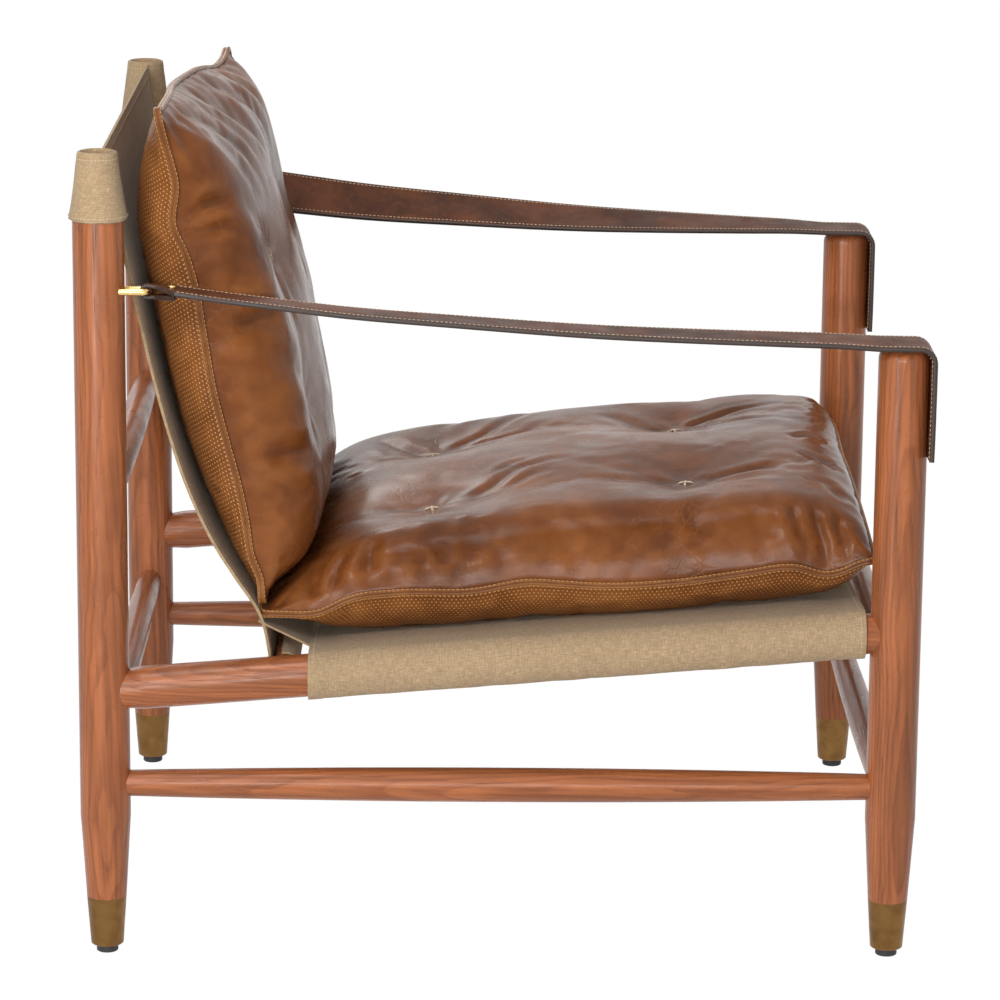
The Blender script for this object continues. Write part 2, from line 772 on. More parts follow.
@dataclass(frozen=True)
class Stitch:
    """One kind of stitch: its spacing, its length and its thread's radius, in metres."""

    pitch: float
    length: float
    radius: float


SEAM_STITCH = Stitch(0.0043, 0.0034, 0.00042)
STRAP_STITCH = Stitch(0.0042, 0.0031, 0.00042)
CANVAS_STITCH = Stitch(0.0034, 0.0026, 0.00036)


class StitchTree:
    """Rows of stitches along a path, as thread grains set end to end."""

    def __init__(self) -> None:
        """Build the tree."""
        inputs = [
            ("Pitch", FLOAT, 0.004), ("Stitch Length", FLOAT, 0.0032), ("Thread Radius", FLOAT, 0.0004),
            ("Thread", MATERIAL, None),
        ]
        graph, source, sink = new_geometry_group("stitch_row", inputs)
        path = graph.add("GeometryNodeMeshToCurve", {"Mesh": source.outputs["Geometry"]})
        spacing = {"Curve": path.outputs[0], "Length": source.outputs["Pitch"]}
        marks = graph.add("GeometryNodeCurveToPoints", spacing, mode="LENGTH")
        grain = graph.add("GeometryNodeMeshUVSphere", {"Segments": 6, "Rings": 4, "Radius": 1.0})
        thick = source.outputs["Thread Radius"]
        half = graph.math("MULTIPLY", source.outputs["Stitch Length"], 0.5)
        placed = graph.add(
            "GeometryNodeInstanceOnPoints",
            {"Points": marks.outputs["Points"], "Instance": grain.outputs["Mesh"],
             "Rotation": marks.outputs["Rotation"], "Scale": graph.combined(thick, thick, half)},
        )
        self.tree = end_instances(graph, placed, source.outputs["Thread"], sink, smooth=True)

    def sew(self, name: str, rows: list[np.ndarray], thread: Material, stitch: Stitch) -> Object:
        """Sew rows of stitches.

        Args:
            name: Name of the piece.
            rows: One path for each row.
            thread: The thread's material.
            stitch: The kind of stitch.

        Returns:
            The stitches as a plain mesh object.
        """
        points = np.vstack(rows)
        edges, start = [], 0
        for row in rows:
            edges += [(start + i, start + i + 1) for i in range(len(row) - 1)]
            start += len(row)
        mesh = bpy.data.meshes.new(name)
        mesh.from_pydata([tuple(point) for point in points], edges, [])
        values = {"Pitch": stitch.pitch, "Stitch Length": stitch.length, "Thread Radius": stitch.radius}
        return grown(name, mesh, self.tree, values | {"Thread": thread})


class PinholeTree:
    """Staggered rows of small punched holes over a surface with a UV map in metres."""

    ROW_RISE = 0.866  # Height of a row in a grid of even triangles, in pitches.
    HOLE_SIDES = 6

    def __init__(self) -> None:
        """Build the tree."""
        inputs = [
            ("Pitch", FLOAT, 0.004), ("Hole Radius", FLOAT, 0.0006), ("Run", FLOAT, 2.4), ("Depth", FLOAT, 0.06),
            ("Margin", FLOAT, 0.005), ("Lift", FLOAT, 0.00012), ("Lining", MATERIAL, None),
        ]
        graph, source, sink = new_geometry_group("pinhole_rows", inputs)
        pitch, radius = source.outputs["Pitch"], source.outputs["Hole Radius"]
        rise = graph.math("MULTIPLY", pitch, self.ROW_RISE)
        columns = graph.math("CEIL", graph.math("DIVIDE", source.outputs["Run"], pitch))
        rows = graph.math("CEIL", graph.math("DIVIDE", source.outputs["Depth"], rise))
        width, depth = graph.math("MULTIPLY", columns, pitch), graph.math("MULTIPLY", rows, rise)
        grid = graph.add(
            "GeometryNodeMeshGrid",
            {"Size X": width, "Size Y": depth, "Vertices X": graph.math("ADD", columns, 1.0),
             "Vertices Y": graph.math("ADD", rows, 1.0)},
        )
        place = graph.add("ShaderNodeSeparateXYZ", {0: graph.add("GeometryNodeInputPosition").outputs[0]})
        along = graph.math("ADD", place.outputs[0], graph.math("MULTIPLY", width, 0.5))
        down = graph.math("ADD", place.outputs[1], graph.math("MULTIPLY", depth, 0.5))
        odd = graph.math("PINGPONG", graph.math("ROUND", graph.math("DIVIDE", down, rise)), 1.0)
        shifted = graph.math("ADD", along, graph.math("MULTIPLY", odd, graph.math("MULTIPLY", pitch, 0.5)))
        target = graph.combined(shifted, graph.math("ADD", down, source.outputs["Margin"]))
        caught = graph.add("GeometryNodeCaptureAttribute", {"Geometry": grid.outputs["Mesh"]})
        caught.capture_items.new("VECTOR", "Target")
        graph.fill(caught, {"Target": target})
        dots = graph.add("GeometryNodeMeshToPoints", {"Mesh": caught.outputs["Geometry"]})
        chart = graph.add("GeometryNodeInputNamedAttribute", {"Name": "UVMap"}, data_type="FLOAT_VECTOR")
        spot, normal = [
            graph.add(
                "GeometryNodeSampleUVSurface",
                {"Mesh": source.outputs["Geometry"], "Source UV Map": chart.outputs["Attribute"],
                 "Sample UV": caught.outputs["Target"], "Value": graph.add(f"GeometryNodeInput{kind}").outputs[0]},
                data_type="FLOAT_VECTOR",
            )
            for kind in ("Position", "Normal")
        ]
        lift = graph.scaled(normal.outputs["Value"], source.outputs["Lift"])
        raised = graph.vector("ADD", spot.outputs["Value"], lift)
        moved = graph.add("GeometryNodeSetPosition", {"Geometry": dots.outputs["Points"], "Position": raised})
        facing = graph.add("FunctionNodeAlignRotationToVector", {"Vector": normal.outputs["Value"]}, axis="Z")
        disc = graph.add(
            "GeometryNodeMeshCircle", {"Vertices": self.HOLE_SIDES, "Radius": radius}, fill_type="NGON"
        )
        placed = graph.add(
            "GeometryNodeInstanceOnPoints",
            {"Points": moved.outputs[0], "Selection": spot.outputs["Is Valid"], "Instance": disc.outputs["Mesh"],
             "Rotation": facing.outputs[0]},
        )
        self.tree = end_instances(graph, placed, source.outputs["Lining"], sink, smooth=False)


def grown(name: str, mesh: Mesh, tree: NodeTree, values: dict) -> Object:
    """Run a geometry tree on a mesh and keep its result as a plain mesh object.

    Args:
        name: Name of the piece.
        mesh: The tree's geometry.
        tree: The geometry node tree.
        values: Input name to value.

    Returns:
        The new object.
    """
    seed = linked(name + "_seed", mesh)
    modifier = seed.modifiers.new("grow", "NODES")
    modifier.node_group = tree
    for item in tree.interface.items_tree:
        if item.item_type == "SOCKET" and item.in_out == "INPUT" and item.name in values:
            modifier[item.identifier] = values[item.name]
    evaluated = seed.evaluated_get(bpy.context.evaluated_depsgraph_get())
    result = bpy.data.meshes.new_from_object(evaluated)
    bpy.data.objects.remove(seed)
    return linked(name, result)


# The frame's timber, its feet and its fittings


def cad_copy(node: str, material: Material, smooth_angle: float = 32.0) -> Object:
    """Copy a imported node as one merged, smooth mesh.

    Args:
        node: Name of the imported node.
        material: Material of the copy.
        smooth_angle: Edges that turn by more than this many degrees stay sharp.

    Returns:
        The copy.
    """
    mesh = bmesh.new()
    mesh.from_mesh(bpy.data.objects[node].data)
    bmesh.ops.remove_doubles(mesh, verts=mesh.verts, dist=0.00002)
    bmesh.ops.recalc_face_normals(mesh, faces=mesh.faces)
    for face in mesh.faces:
        face.smooth = True
        face.material_index = 0
    mark_sharp(mesh, smooth_angle)
    data = bpy.data.meshes.new(node + "_finished")
    mesh.to_mesh(data)
    mesh.free()
    data.materials.append(material)
    return linked(node + "_finished", data)


def vertices_of(piece: Object) -> np.ndarray:
    """Every vertex of a piece, one to a row."""
    points = np.zeros(len(piece.data.vertices) * 3)
    piece.data.vertices.foreach_get("co", points)
    return points.reshape(-1, 3)


@dataclass
class Timber:
    """Legs, posts, rails and spindles, each sawn from its own place in the log."""

    finishes: Finishes
    pith_distance: float = 0.058
    tilt: float = 0.028
    members: dict = field(default_factory=lambda: {
        "rear_post_right": (Axis.UPRIGHT, 205.0), "rear_post_left": (Axis.UPRIGHT, 150.0),
        "front_leg_right": (Axis.UPRIGHT, 20.0), "front_leg_left": (Axis.UPRIGHT, 235.0),
        "side_rail_right": (Axis.ALONG, 300.0), "side_rail_left": (Axis.ALONG, 80.0),
        "side_stretcher_right": (Axis.ALONG, 190.0), "side_stretcher_left": (Axis.ALONG, 10.0),
        "back_cross_rail": (Axis.ACROSS, 130.0), "rear_seat_rail": (Axis.ACROSS, 250.0),
        "front_seat_rail": (Axis.ACROSS, 40.0), "front_stretcher": (Axis.ACROSS, 330.0),
        "sling_batten": (Axis.ACROSS, 75.0),
    })

    def grain(self, piece: Object, axis: Axis, turn: float) -> None:
        """Store where each point lies in the log, the log's pith upright at zero."""
        points = vertices_of(piece)
        order = [index for index in range(3) if index != axis.value] + [axis.value]
        local = (points - (points.min(0) + points.max(0)) / 2)[:, order]
        angle = math.radians(turn)
        local[:, 0] += math.cos(angle) * self.pith_distance + local[:, 2] * self.tilt
        local[:, 1] += math.sin(angle) * self.pith_distance - local[:, 2] * self.tilt * 0.6
        local[:, 2] += turn * 0.01
        set_attribute(piece, "grain", local)

    def build(self) -> None:
        """Finish every member."""
        for node, (axis, turn) in self.members.items():
            piece = cad_copy(node, self.finishes.wood)
            self.grain(piece, axis, turn)
            dress(piece, Body.FRAME, Slot.WOOD, node)


@dataclass
class Fittings:
    """Ferrules, glides, staples, rivets, inserts and the straps' screws."""

    finishes: Finishes
    head_radius: float = 0.00475
    head_height: float = 0.0025
    slot_width: float = 0.0011
    slot_depth: float = 0.0009
    slot_turn: float = 0.6

    def copies(self) -> None:
        """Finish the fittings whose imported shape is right."""
        brass, steel = (self.finishes.brass, Slot.BRASS), (self.finishes.steel, Slot.STEEL)
        aged, plastic = (self.finishes.aged_brass, Slot.AGED_BRASS), (self.finishes.plastic, Slot.PLASTIC)
        looks = {}
        for corner in (f"{end}_{hand}" for end in ("rear", "front") for hand in HANDS):
            looks |= {f"ferrule_{corner}": aged, f"glide_stem_{corner}": steel, f"glide_pad_{corner}": plastic}
        looks |= {f"strap_staple_{hand}": brass for hand in HANDS}
        looks |= {"strap_rivets": brass, "threaded_inserts": steel}
        for node, (material, slot) in looks.items():
            body = f"{node}_body" if node.startswith("glide") else Body.FRAME
            dress(cad_copy(node, material), body, slot, node)

    def screw_tree(self) -> NodeTree:
        """Geometry tree: a domed, slotted head on a shank at every point, looking forward."""
        inputs = [
            ("Head Radius", FLOAT, self.head_radius), ("Head Height", FLOAT, self.head_height),
            ("Slot Width", FLOAT, self.slot_width), ("Slot Depth", FLOAT, self.slot_depth), ("Brass", MATERIAL, None),
        ]
        graph, source, sink = new_geometry_group("slotted_screws", inputs)
        radius, height = source.outputs["Head Radius"], source.outputs["Head Height"]
        ball = graph.add("GeometryNodeMeshUVSphere", {"Segments": 20, "Rings": 12, "Radius": 1.0})
        squash = graph.combined(radius, radius, height)
        dome = graph.add("GeometryNodeTransform", {"Geometry": ball.outputs["Mesh"], "Scale": squash})
        width, depth = source.outputs["Slot Width"], source.outputs["Slot Depth"]
        bar_size = graph.combined(graph.math("MULTIPLY", radius, 3.0), width, depth)
        bar = graph.add("GeometryNodeMeshCube", {"Size": bar_size})
        top = graph.combined(0.0, 0.0, graph.math("SUBTRACT", height, graph.math("MULTIPLY", depth, 0.4)))
        raised = graph.add("GeometryNodeTransform", {"Geometry": bar.outputs["Mesh"], "Translation": top})
        solids = {"Mesh 1": dome.outputs[0], "Mesh 2": raised.outputs[0]}
        cut = graph.add("GeometryNodeMeshBoolean", solids, operation="DIFFERENCE", solver="EXACT")
        turn = graph.add("FunctionNodeEulerToRotation", {0: (math.pi / 2, self.slot_turn, 0.0)})
        placed = graph.add(
            "GeometryNodeInstanceOnPoints",
            {"Points": source.outputs["Geometry"], "Instance": cut.outputs["Mesh"], "Rotation": turn.outputs[0]},
        )
        return end_instances(graph, placed, source.outputs["Brass"], sink, smooth=True)

    def screws(self) -> None:
        """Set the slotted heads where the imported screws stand."""
        low, high = (np.array(corner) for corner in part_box("strap_screws"))
        side = high[0] - self.head_radius
        heights = (low[2] + self.head_radius, high[2] - self.head_radius)
        seat = low[1] + self.head_height
        mesh = bpy.data.meshes.new("screw_places")
        mesh.from_pydata([(end * side, seat, height) for end in (-1, 1) for height in heights], [], [])
        piece = grown("screw_heads", mesh, self.screw_tree(), {"Brass": self.finishes.aged_brass})
        sharpen(piece, 40.0)
        dress(piece, Body.FRAME, Slot.AGED_BRASS, "strap_screws")

    def build(self) -> None:
        """Make every fitting."""
        self.copies()
        self.screws()


# Arm straps


@dataclass
class ArmStrap:
    """One leather arm: a folded tab round the staple, a long span and a wrap over the leg."""

    finishes: Finishes
    stitches: StitchTree
    hand: str
    side: int
    turn: float
    half_spacing: float = 0.306
    rear_y: float = 0.3687
    width: float = 0.058
    tab_width: float = 0.0136
    thickness: float = 0.0045
    tab_thickness: float = 0.0033
    eye_radius: float = 0.0036
    staple_reach: float = 0.044
    rear_height: float = 0.632
    fold_length: float = 0.026
    neck: float = 0.012
    front_face: float = 0.7586
    leg_top: float = 0.5851
    leg_start: float = 0.7115
    bend_radius: float = 0.0111
    foot_height: float = 0.483
    flare: float = -0.0006
    span: tuple = ((0.10, 0.6277), (0.16, 0.6205), (0.219, 0.6138), (0.329, 0.6052), (0.456, 0.5968),
                   (0.548, 0.5933), (0.621, 0.5912), (0.69, 0.5890))
    stitch_margin: float = 0.0042
    edge_roundness: float = 0.55
    step: float = 0.006

    def fold_path(self) -> list:
        """Forward distance, rise, width and thickness round the staple's bar."""
        loop = self.eye_radius + self.tab_thickness / 2
        under = -self.thickness - 0.0001
        tab = (self.tab_width, self.tab_thickness)
        full = (self.width, self.thickness)
        narrowing = ((full[0] + tab[0]) / 2, full[1])
        shoulder, narrow = self.neck + 0.007, self.neck * 0.6
        turns = np.linspace(0, math.pi, 13)
        return [
            (self.fold_length, under, *full), (shoulder, under - 0.0003, *narrowing), (narrow, -loop, *tab),
            *((-loop * math.sin(turn), -loop * math.cos(turn), *tab) for turn in turns),
            (narrow, loop * 0.8, *tab), (shoulder, 0.0012, *narrowing), (self.fold_length, 0.0, *full),
        ]

    def bank(self, forward: float) -> float:
        """Degrees that the strap leans, which fade out towards the leg."""
        start = self.staple_reach + self.fold_length
        return self.turn * max(0.0, 1 - (forward - start) / (self.leg_start - start))

    def path(self) -> np.ndarray:
        """Forward distance from the rear post, height, width, thickness and bank."""
        rows = [
            (self.staple_reach + forward, self.rear_height + rise, width, thick, self.turn)
            for forward, rise, width, thick in self.fold_path()
        ]
        full = (self.width, self.thickness)
        rows += [(forward, height, *full, self.bank(forward)) for forward, height in self.span]
        top = self.leg_top + self.thickness / 2
        end = self.front_face - self.bend_radius
        rows += [(self.leg_start, top + 0.0003, *full, 0.0), (end - 0.004, top, *full, 0.0)]
        reach = self.bend_radius + self.thickness / 2
        for angle in np.linspace(0.0, math.pi / 2, 7):
            height = self.leg_top - self.bend_radius + reach * math.cos(angle)
            rows.append((end + reach * math.sin(angle), height, *full, 0.0))
        face = rows[-1][0]
        for share, height in ((0.0, 0.55), (0.2, 0.52), (0.5, 0.50), (1.0, self.foot_height)):
            rows.append((face + self.flare * share, height, *full, 0.0))
        return np.array(rows)

    def frames(self) -> tuple[np.ndarray, np.ndarray, np.ndarray, np.ndarray]:
        """Dense rows of the path, with the strap's width and face directions."""
        rough = self.path()
        runs = distances(rough[:, :2])
        places = np.unique(np.concatenate([runs, np.arange(0.0, runs[-1], self.step)]))
        rows = interpolated(places, runs, rough)
        fold_end = self.staple_reach + self.fold_length
        straight = rows[:, 0] > fold_end
        on_span = straight & (rows[:, 0] < 0.7)
        knots = [(fold_end, self.rear_height), *self.span, (self.leg_start, self.leg_top + self.thickness / 2)]
        rows[on_span, 1] = curved(rows[on_span, 0], *zip(*knots))
        middle = self.side * self.half_spacing
        line = np.column_stack([np.full(len(rows), middle), self.rear_y - rows[:, 0], rows[:, 1]])
        tangent = unit(np.gradient(line, axis=0))
        bank = np.radians(-self.side * rows[:, 4])
        across = np.column_stack([np.cos(bank), np.zeros(len(rows)), -np.sin(bank)])
        in_fold = ~straight
        pivot = np.array([middle, self.rear_y - self.staple_reach, self.rear_height])
        offset = line[in_fold] - pivot
        angle = np.radians(-self.side * self.turn)
        turned = (np.sin(angle) * offset[:, 2], offset[:, 1], np.cos(angle) * offset[:, 2])
        line[in_fold] = pivot + np.column_stack(turned)
        face = unit(np.cross(across, tangent))
        across = np.cross(tangent, face)
        return line, across, face, rows

    def body(self) -> Object:
        """The strap itself, with rounded, painted edges."""
        line, across, face, rows = self.frames()
        edge_steps, face_steps = 5, 12
        ring = []
        for end in (-1, 1):
            for share in np.linspace(-1, 1, face_steps) * -end:
                ring.append((share, -end, 0.0, 0.0))
            for angle in np.linspace(90, -90, edge_steps + 2)[1:-1]:
                ring.append((-end, 0.0, math.cos(math.radians(angle)), -end * math.sin(math.radians(angle))))
        ring = np.array(ring)
        on_edge = ring[:, 1] == 0
        half, thick = rows[:, 2:3] / 2, rows[:, 3:4] / 2
        soft = thick * self.edge_roundness
        round_edge = half - soft + ring[:, 2][None, :] * soft
        wide = np.sign(ring[:, 0]) * np.where(on_edge, round_edge, np.abs(ring[:, 0])[None, :] * (half - soft))
        high = np.where(on_edge, ring[:, 3], ring[:, 1]) * thick
        points = line[:, None] + wide[:, :, None] * across[:, None] + high[:, :, None] * face[:, None]
        count = len(ring)
        faces = grid_faces(len(line), count, wrap=True)
        ends = [tuple(range(count))[::-1], tuple(range((len(line) - 1) * count, len(line) * count))]
        materials = [self.finishes.strap, self.finishes.edge]
        piece = make_object(f"arm_strap_leather_{self.hand}", points.reshape(-1, 3), faces + ends, materials)
        for index, polygon in enumerate(piece.data.polygons):
            column = index % count
            if index >= len(faces) or on_edge[column] or on_edge[(column + 1) % count]:
                polygon.material_index = 1
        recalculated(piece)
        sharpen(piece, 55.0)
        return dress(piece, Body.FRAME, Slot.STRAP, f"arm_strap_{self.hand}")

    def sewing(self) -> Object:
        """Rows of cream stitches along both edges, on both faces, and across the fold."""
        line, across, face, rows = self.frames()
        seamed = rows[:, 0] > self.staple_reach + self.fold_length + 0.002
        found = []
        for edge in (-1, 1):
            for front in (-1, 1):
                inset = rows[:, 2:3] / 2 - self.stitch_margin
                row = line + edge * inset * across + front * (rows[:, 3:4] / 2 + 0.00005) * face
                found.append(row[seamed])
        for forward in (self.fold_length + 0.003, self.fold_length + 0.0065):
            index = int(np.argmin(np.abs(rows[:, 0] - self.staple_reach - forward) + (~seamed)))
            reach = np.linspace(-1, 1, 9)[:, None] * (self.width / 2 - self.stitch_margin)
            found.append(line[index] + reach * across[index] + (self.thickness / 2 + 0.00005) * face[index])
        name = f"arm_strap_sewing_{self.hand}"
        piece = self.stitches.sew(name, found, self.finishes.cream_thread, STRAP_STITCH)
        return dress(piece, Body.FRAME, Slot.THREAD)

    def build(self) -> None:
        """Make the strap and its sewing."""
        self.body()
        self.sewing()


# Cushions


@dataclass(frozen=True)
class Fold:
    """A crease along a line on a cushion's plan, or a ridge where its depth is negative."""

    line: tuple
    depth: float = 0.004
    width: float = 0.009
    start_fade: float = 0.15
    end_fade: float = 0.45


def refined(grid: np.ndarray, factor: int) -> np.ndarray:
    """Add rows and columns between a grid's own, on smooth curves through them."""
    for _ in range(2):
        padded = np.concatenate([2 * grid[:1] - grid[1:2], grid, 2 * grid[-1:] - grid[-2:-1]])
        first, here, after, last = padded[:-3], padded[1:-2], padded[2:-1], padded[3:]
        steps = []
        for part in np.arange(factor) / factor:
            bend = (after - first) * part + (2 * first - 5 * here + 4 * after - last) * part**2
            steps.append(here + 0.5 * (bend + (3 * here - first - 3 * after + last) * part**3))
        dense = np.stack(steps, axis=1).reshape(-1, *grid.shape[1:])
        grid = np.concatenate([dense, grid[-1:]]).swapaxes(0, 1)
    return grid


def grid_normals(grid: np.ndarray) -> np.ndarray:
    """Unit normals of a grid of points, rows crossed with columns."""
    normals = np.cross(np.gradient(grid, axis=0), np.gradient(grid, axis=1))
    return normals / np.maximum(np.linalg.norm(normals, axis=2, keepdims=True), 1e-9)


def blurred(grid: np.ndarray, rounds: int) -> np.ndarray:
    """Average a grid with its neighbours; its border stays."""
    result = grid.copy()
    for _ in range(rounds):
        inner = result[1:-1, 1:-1]
        near = result[:-2, 1:-1] + result[2:, 1:-1] + result[1:-1, :-2] + result[1:-1, 2:]
        result[1:-1, 1:-1] = inner * 0.4 + near * 0.15
    return result


def ripple(place: np.ndarray, seed: int, octaves: int = 3) -> np.ndarray:
    """Smooth irregular wave of a place, roughly within one of zero."""
    random = np.random.default_rng(seed)
    total = np.zeros_like(place, dtype=float)
    for octave in range(octaves):
        for _ in range(3):
            rate = random.uniform(0.7, 1.5) * 1.9**octave
            total += math.pow(0.62, octave) * np.sin(2 * math.pi * (place * rate + random.uniform(0, 1)))
    return total / 3


def line_reach(x: np.ndarray, y: np.ndarray, line: tuple) -> tuple[np.ndarray, np.ndarray]:
    """Distance from each point to a line on the plan, and the nearest place's share of it."""
    corners = np.array(line, float)
    runs = distances(corners)
    best = np.full(x.shape, np.inf)
    share = np.zeros(x.shape)
    for (x0, y0), (x1, y1), before, after in zip(corners[:-1], corners[1:], runs[:-1], runs[1:]):
        run = np.array([x1 - x0, y1 - y0])
        part = np.clip(((x - x0) * run[0] + (y - y0) * run[1]) / (run @ run), 0, 1)
        reach = np.hypot(x - x0 - part * run[0], y - y0 - part * run[1])
        closer = reach < best
        best = np.where(closer, reach, best)
        share = np.where(closer, (before + part * (after - before)) / runs[-1], share)
    return best, share


@dataclass
class Cushion:
    """A loose tufted leather cushion: crowned cover, raised seam, pinholes and sewn tufts.

    Its own frame has x across the chair, y along the cushion from its first seam, and
    height over the seam plane towards the sitter.
    """

    finishes: Finishes
    stitches: StitchTree
    pinholes: PinholeTree
    label: str
    body: Body
    origin: Point
    pitch_degrees: float
    length: float
    crown: float
    belly: float
    top_shares: tuple
    belly_shares: tuple
    tuft_places: tuple
    near_seam: tuple
    far_seam: tuple
    first_seam: tuple
    last_seam: tuple
    first_pull: tuple
    last_pull: tuple
    eared_end: int
    twist: float = 0.0
    twist_reach: float = 0.17
    folds: tuple = ()
    seed: int = 1
    fill: float = 0.7
    half_width: float = 0.269
    pull_in: float = 0.008
    seam_reach: float = 0.030
    first_pull_reach: float = 0.06
    last_pull_reach: float = 0.05
    roll: float = 0.060
    shoulder: float = 0.93
    hip: float = 0.84
    tuft_x: float = 0.120
    tuft_depth: float = 0.0125
    tuft_reach: float = 0.055
    far_tuft_share: float = 1.15
    tuft_knot_share: float = 0.08
    tuft_knot_reach: float = 0.014
    tuft_valley_share: float = 0.2
    tuft_valley_reach: float = 0.03
    spoke_height: float = 0.0014
    gather_height: float = 0.0003
    corner_height: float = 0.0028
    corner_reach: float = 0.065
    slack_height: float = 0.0005
    wrinkle_height: float = 0.00014
    calm_reach: float = 0.012
    rows: int = 64
    columns: int = 60
    factor: int = 3
    swell_cap: float = 0.016
    swell_share: float = 0.3
    swell_frames: int = 20
    belly_rest: float = 0.09
    band_depth: float = 0.056
    welt_step: float = 0.003
    welt_shift: float = 0.00066
    ear_width: float = 0.015
    welt_lobe: float = 0.0020
    welt_gap: float = 0.0016
    ear_reach: float = 0.006
    hole_pitch: float = 0.0042
    hole_radius: float = 0.00068
    cross_arm: float = 0.0074
    cross_thread: float = 0.00052
    cross_rise: float = 0.0018
    cross_steps: int = 9

    def __post_init__(self) -> None:
        """Work out the cushion's directions and its grid of plan places."""
        angle = math.radians(self.pitch_degrees)
        self.along = np.array([0.0, -math.cos(angle), math.sin(angle)])
        self.normal = np.array([0.0, math.sin(angle), math.cos(angle)])
        turns = np.linspace(0, 1, self.rows)
        across = np.linspace(-1, 1, self.columns)
        share = (1 - np.cos(math.pi * turns)) / 2
        self.turns, across = np.meshgrid(turns, across, indexing="ij")
        self.shares = np.repeat(share[:, None], self.columns, axis=1)
        half = self.half_width - self.pull_in * 4 * self.shares * (1 - self.shares)
        self.plan_x = half * np.sin(across * math.pi / 2) * 0.5 + half * across * 0.5
        self.plan_y = self.length * self.shares
        self.half = half

    @property
    def tufts(self) -> list[tuple[float, float]]:
        """Plan places of the four tufts."""
        return [(x, y) for x in (-self.tuft_x, self.tuft_x) for y in self.tuft_places]

    def placed(self, x: np.ndarray, y: np.ndarray, height: np.ndarray) -> np.ndarray:
        """Points of the chair's frame for places of the cushion's."""
        sideways = x[..., None] * np.array([1.0, 0.0, 0.0])
        return np.array(self.origin) + sideways + y[..., None] * self.along + height[..., None] * self.normal

    def tuft_reaches(self, x: np.ndarray, y: np.ndarray) -> list[np.ndarray]:
        """Distance on the plan from each tuft."""
        return [np.hypot(x - tuft_x, y - tuft_y) for tuft_x, tuft_y in self.tufts]

    def rise(self, stations: tuple, full: float, hold: float) -> np.ndarray:
        """Height of a plain shell over the seam plane."""
        knots = np.linspace(0, 1, len(stations))
        values = [0.0, *stations[1:-1], 0.0]
        profile = curved(self.turns, knots, values)
        edge = np.clip((self.half - np.abs(self.plan_x)) / self.roll, 0, 1)
        flat = self.half - self.roll
        round_part = hold * (1 - (1 - edge) ** 2) ** 0.56
        domed = (1 - hold) * np.clip(1 - (self.plan_x / flat) ** 2, 0, None)
        return full * profile * (round_part + domed)

    def dimples(self, x: np.ndarray, y: np.ndarray) -> np.ndarray:
        """Depth that the tufts pull the crown down."""
        depth = np.zeros(x.shape)
        for (tuft_x, _), reach in zip(self.tufts, self.tuft_reaches(x, y)):
            deep = self.tuft_depth * (self.far_tuft_share if tuft_x > 0 else 1.0)
            knot, dish = np.exp(-reach / self.tuft_knot_reach), np.exp(-((reach / self.tuft_reach) ** 2))
            depth += deep * (self.tuft_knot_share * knot + (1 - self.tuft_knot_share) * dish)
        for tuft_x in (-self.tuft_x, self.tuft_x):
            reach, share = line_reach(x, y, tuple((tuft_x, place) for place in self.tuft_places))
            valley = np.exp(-((reach / self.tuft_valley_reach) ** 2)) * np.sin(math.pi * share) ** 0.5
            depth += self.tuft_valley_share * self.tuft_depth * valley
        return depth

    def shells(self) -> tuple[np.ndarray, np.ndarray]:
        """Plain crown and belly, sharing their border at the seam."""
        top = self.rise(self.top_shares, self.crown, self.shoulder)
        low = -self.rise(self.belly_shares, self.belly, self.hip)
        border = border_mask(top.shape)
        top = np.where(border, 0.0, top - self.dimples(self.plan_x, self.plan_y))
        low = np.where(border, 0.0, low)
        return self.placed(self.plan_x, self.plan_y, top), self.placed(self.plan_x, self.plan_y, low)

    @staticmethod
    def assembled(top: np.ndarray, low: np.ndarray) -> tuple[np.ndarray, list, np.ndarray]:
        """Join two shells at their shared border.

        Args:
            top: Grid of the crown's points.
            low: Grid of the belly's points.

        Returns:
            All points, the faces (crown first), and the belly's vertex numbers.
        """
        rows, columns = top.shape[:2]
        upper = np.arange(rows * columns).reshape(rows, columns)
        lower = upper.copy()
        inner = np.arange((rows - 2) * (columns - 2)).reshape(rows - 2, columns - 2)
        lower[1:-1, 1:-1] = inner + rows * columns
        points = np.vstack([top.reshape(-1, 3), low[1:-1, 1:-1].reshape(-1, 3)])
        faces = []
        for grid, order in ((upper, 1), (lower, -1)):
            corners = (grid[:-1, :-1], grid[1:, :-1], grid[1:, 1:], grid[:-1, 1:])
            faces += [quad[::order] for quad in zip(*(corner.ravel().tolist() for corner in corners))]
        return points, faces, lower

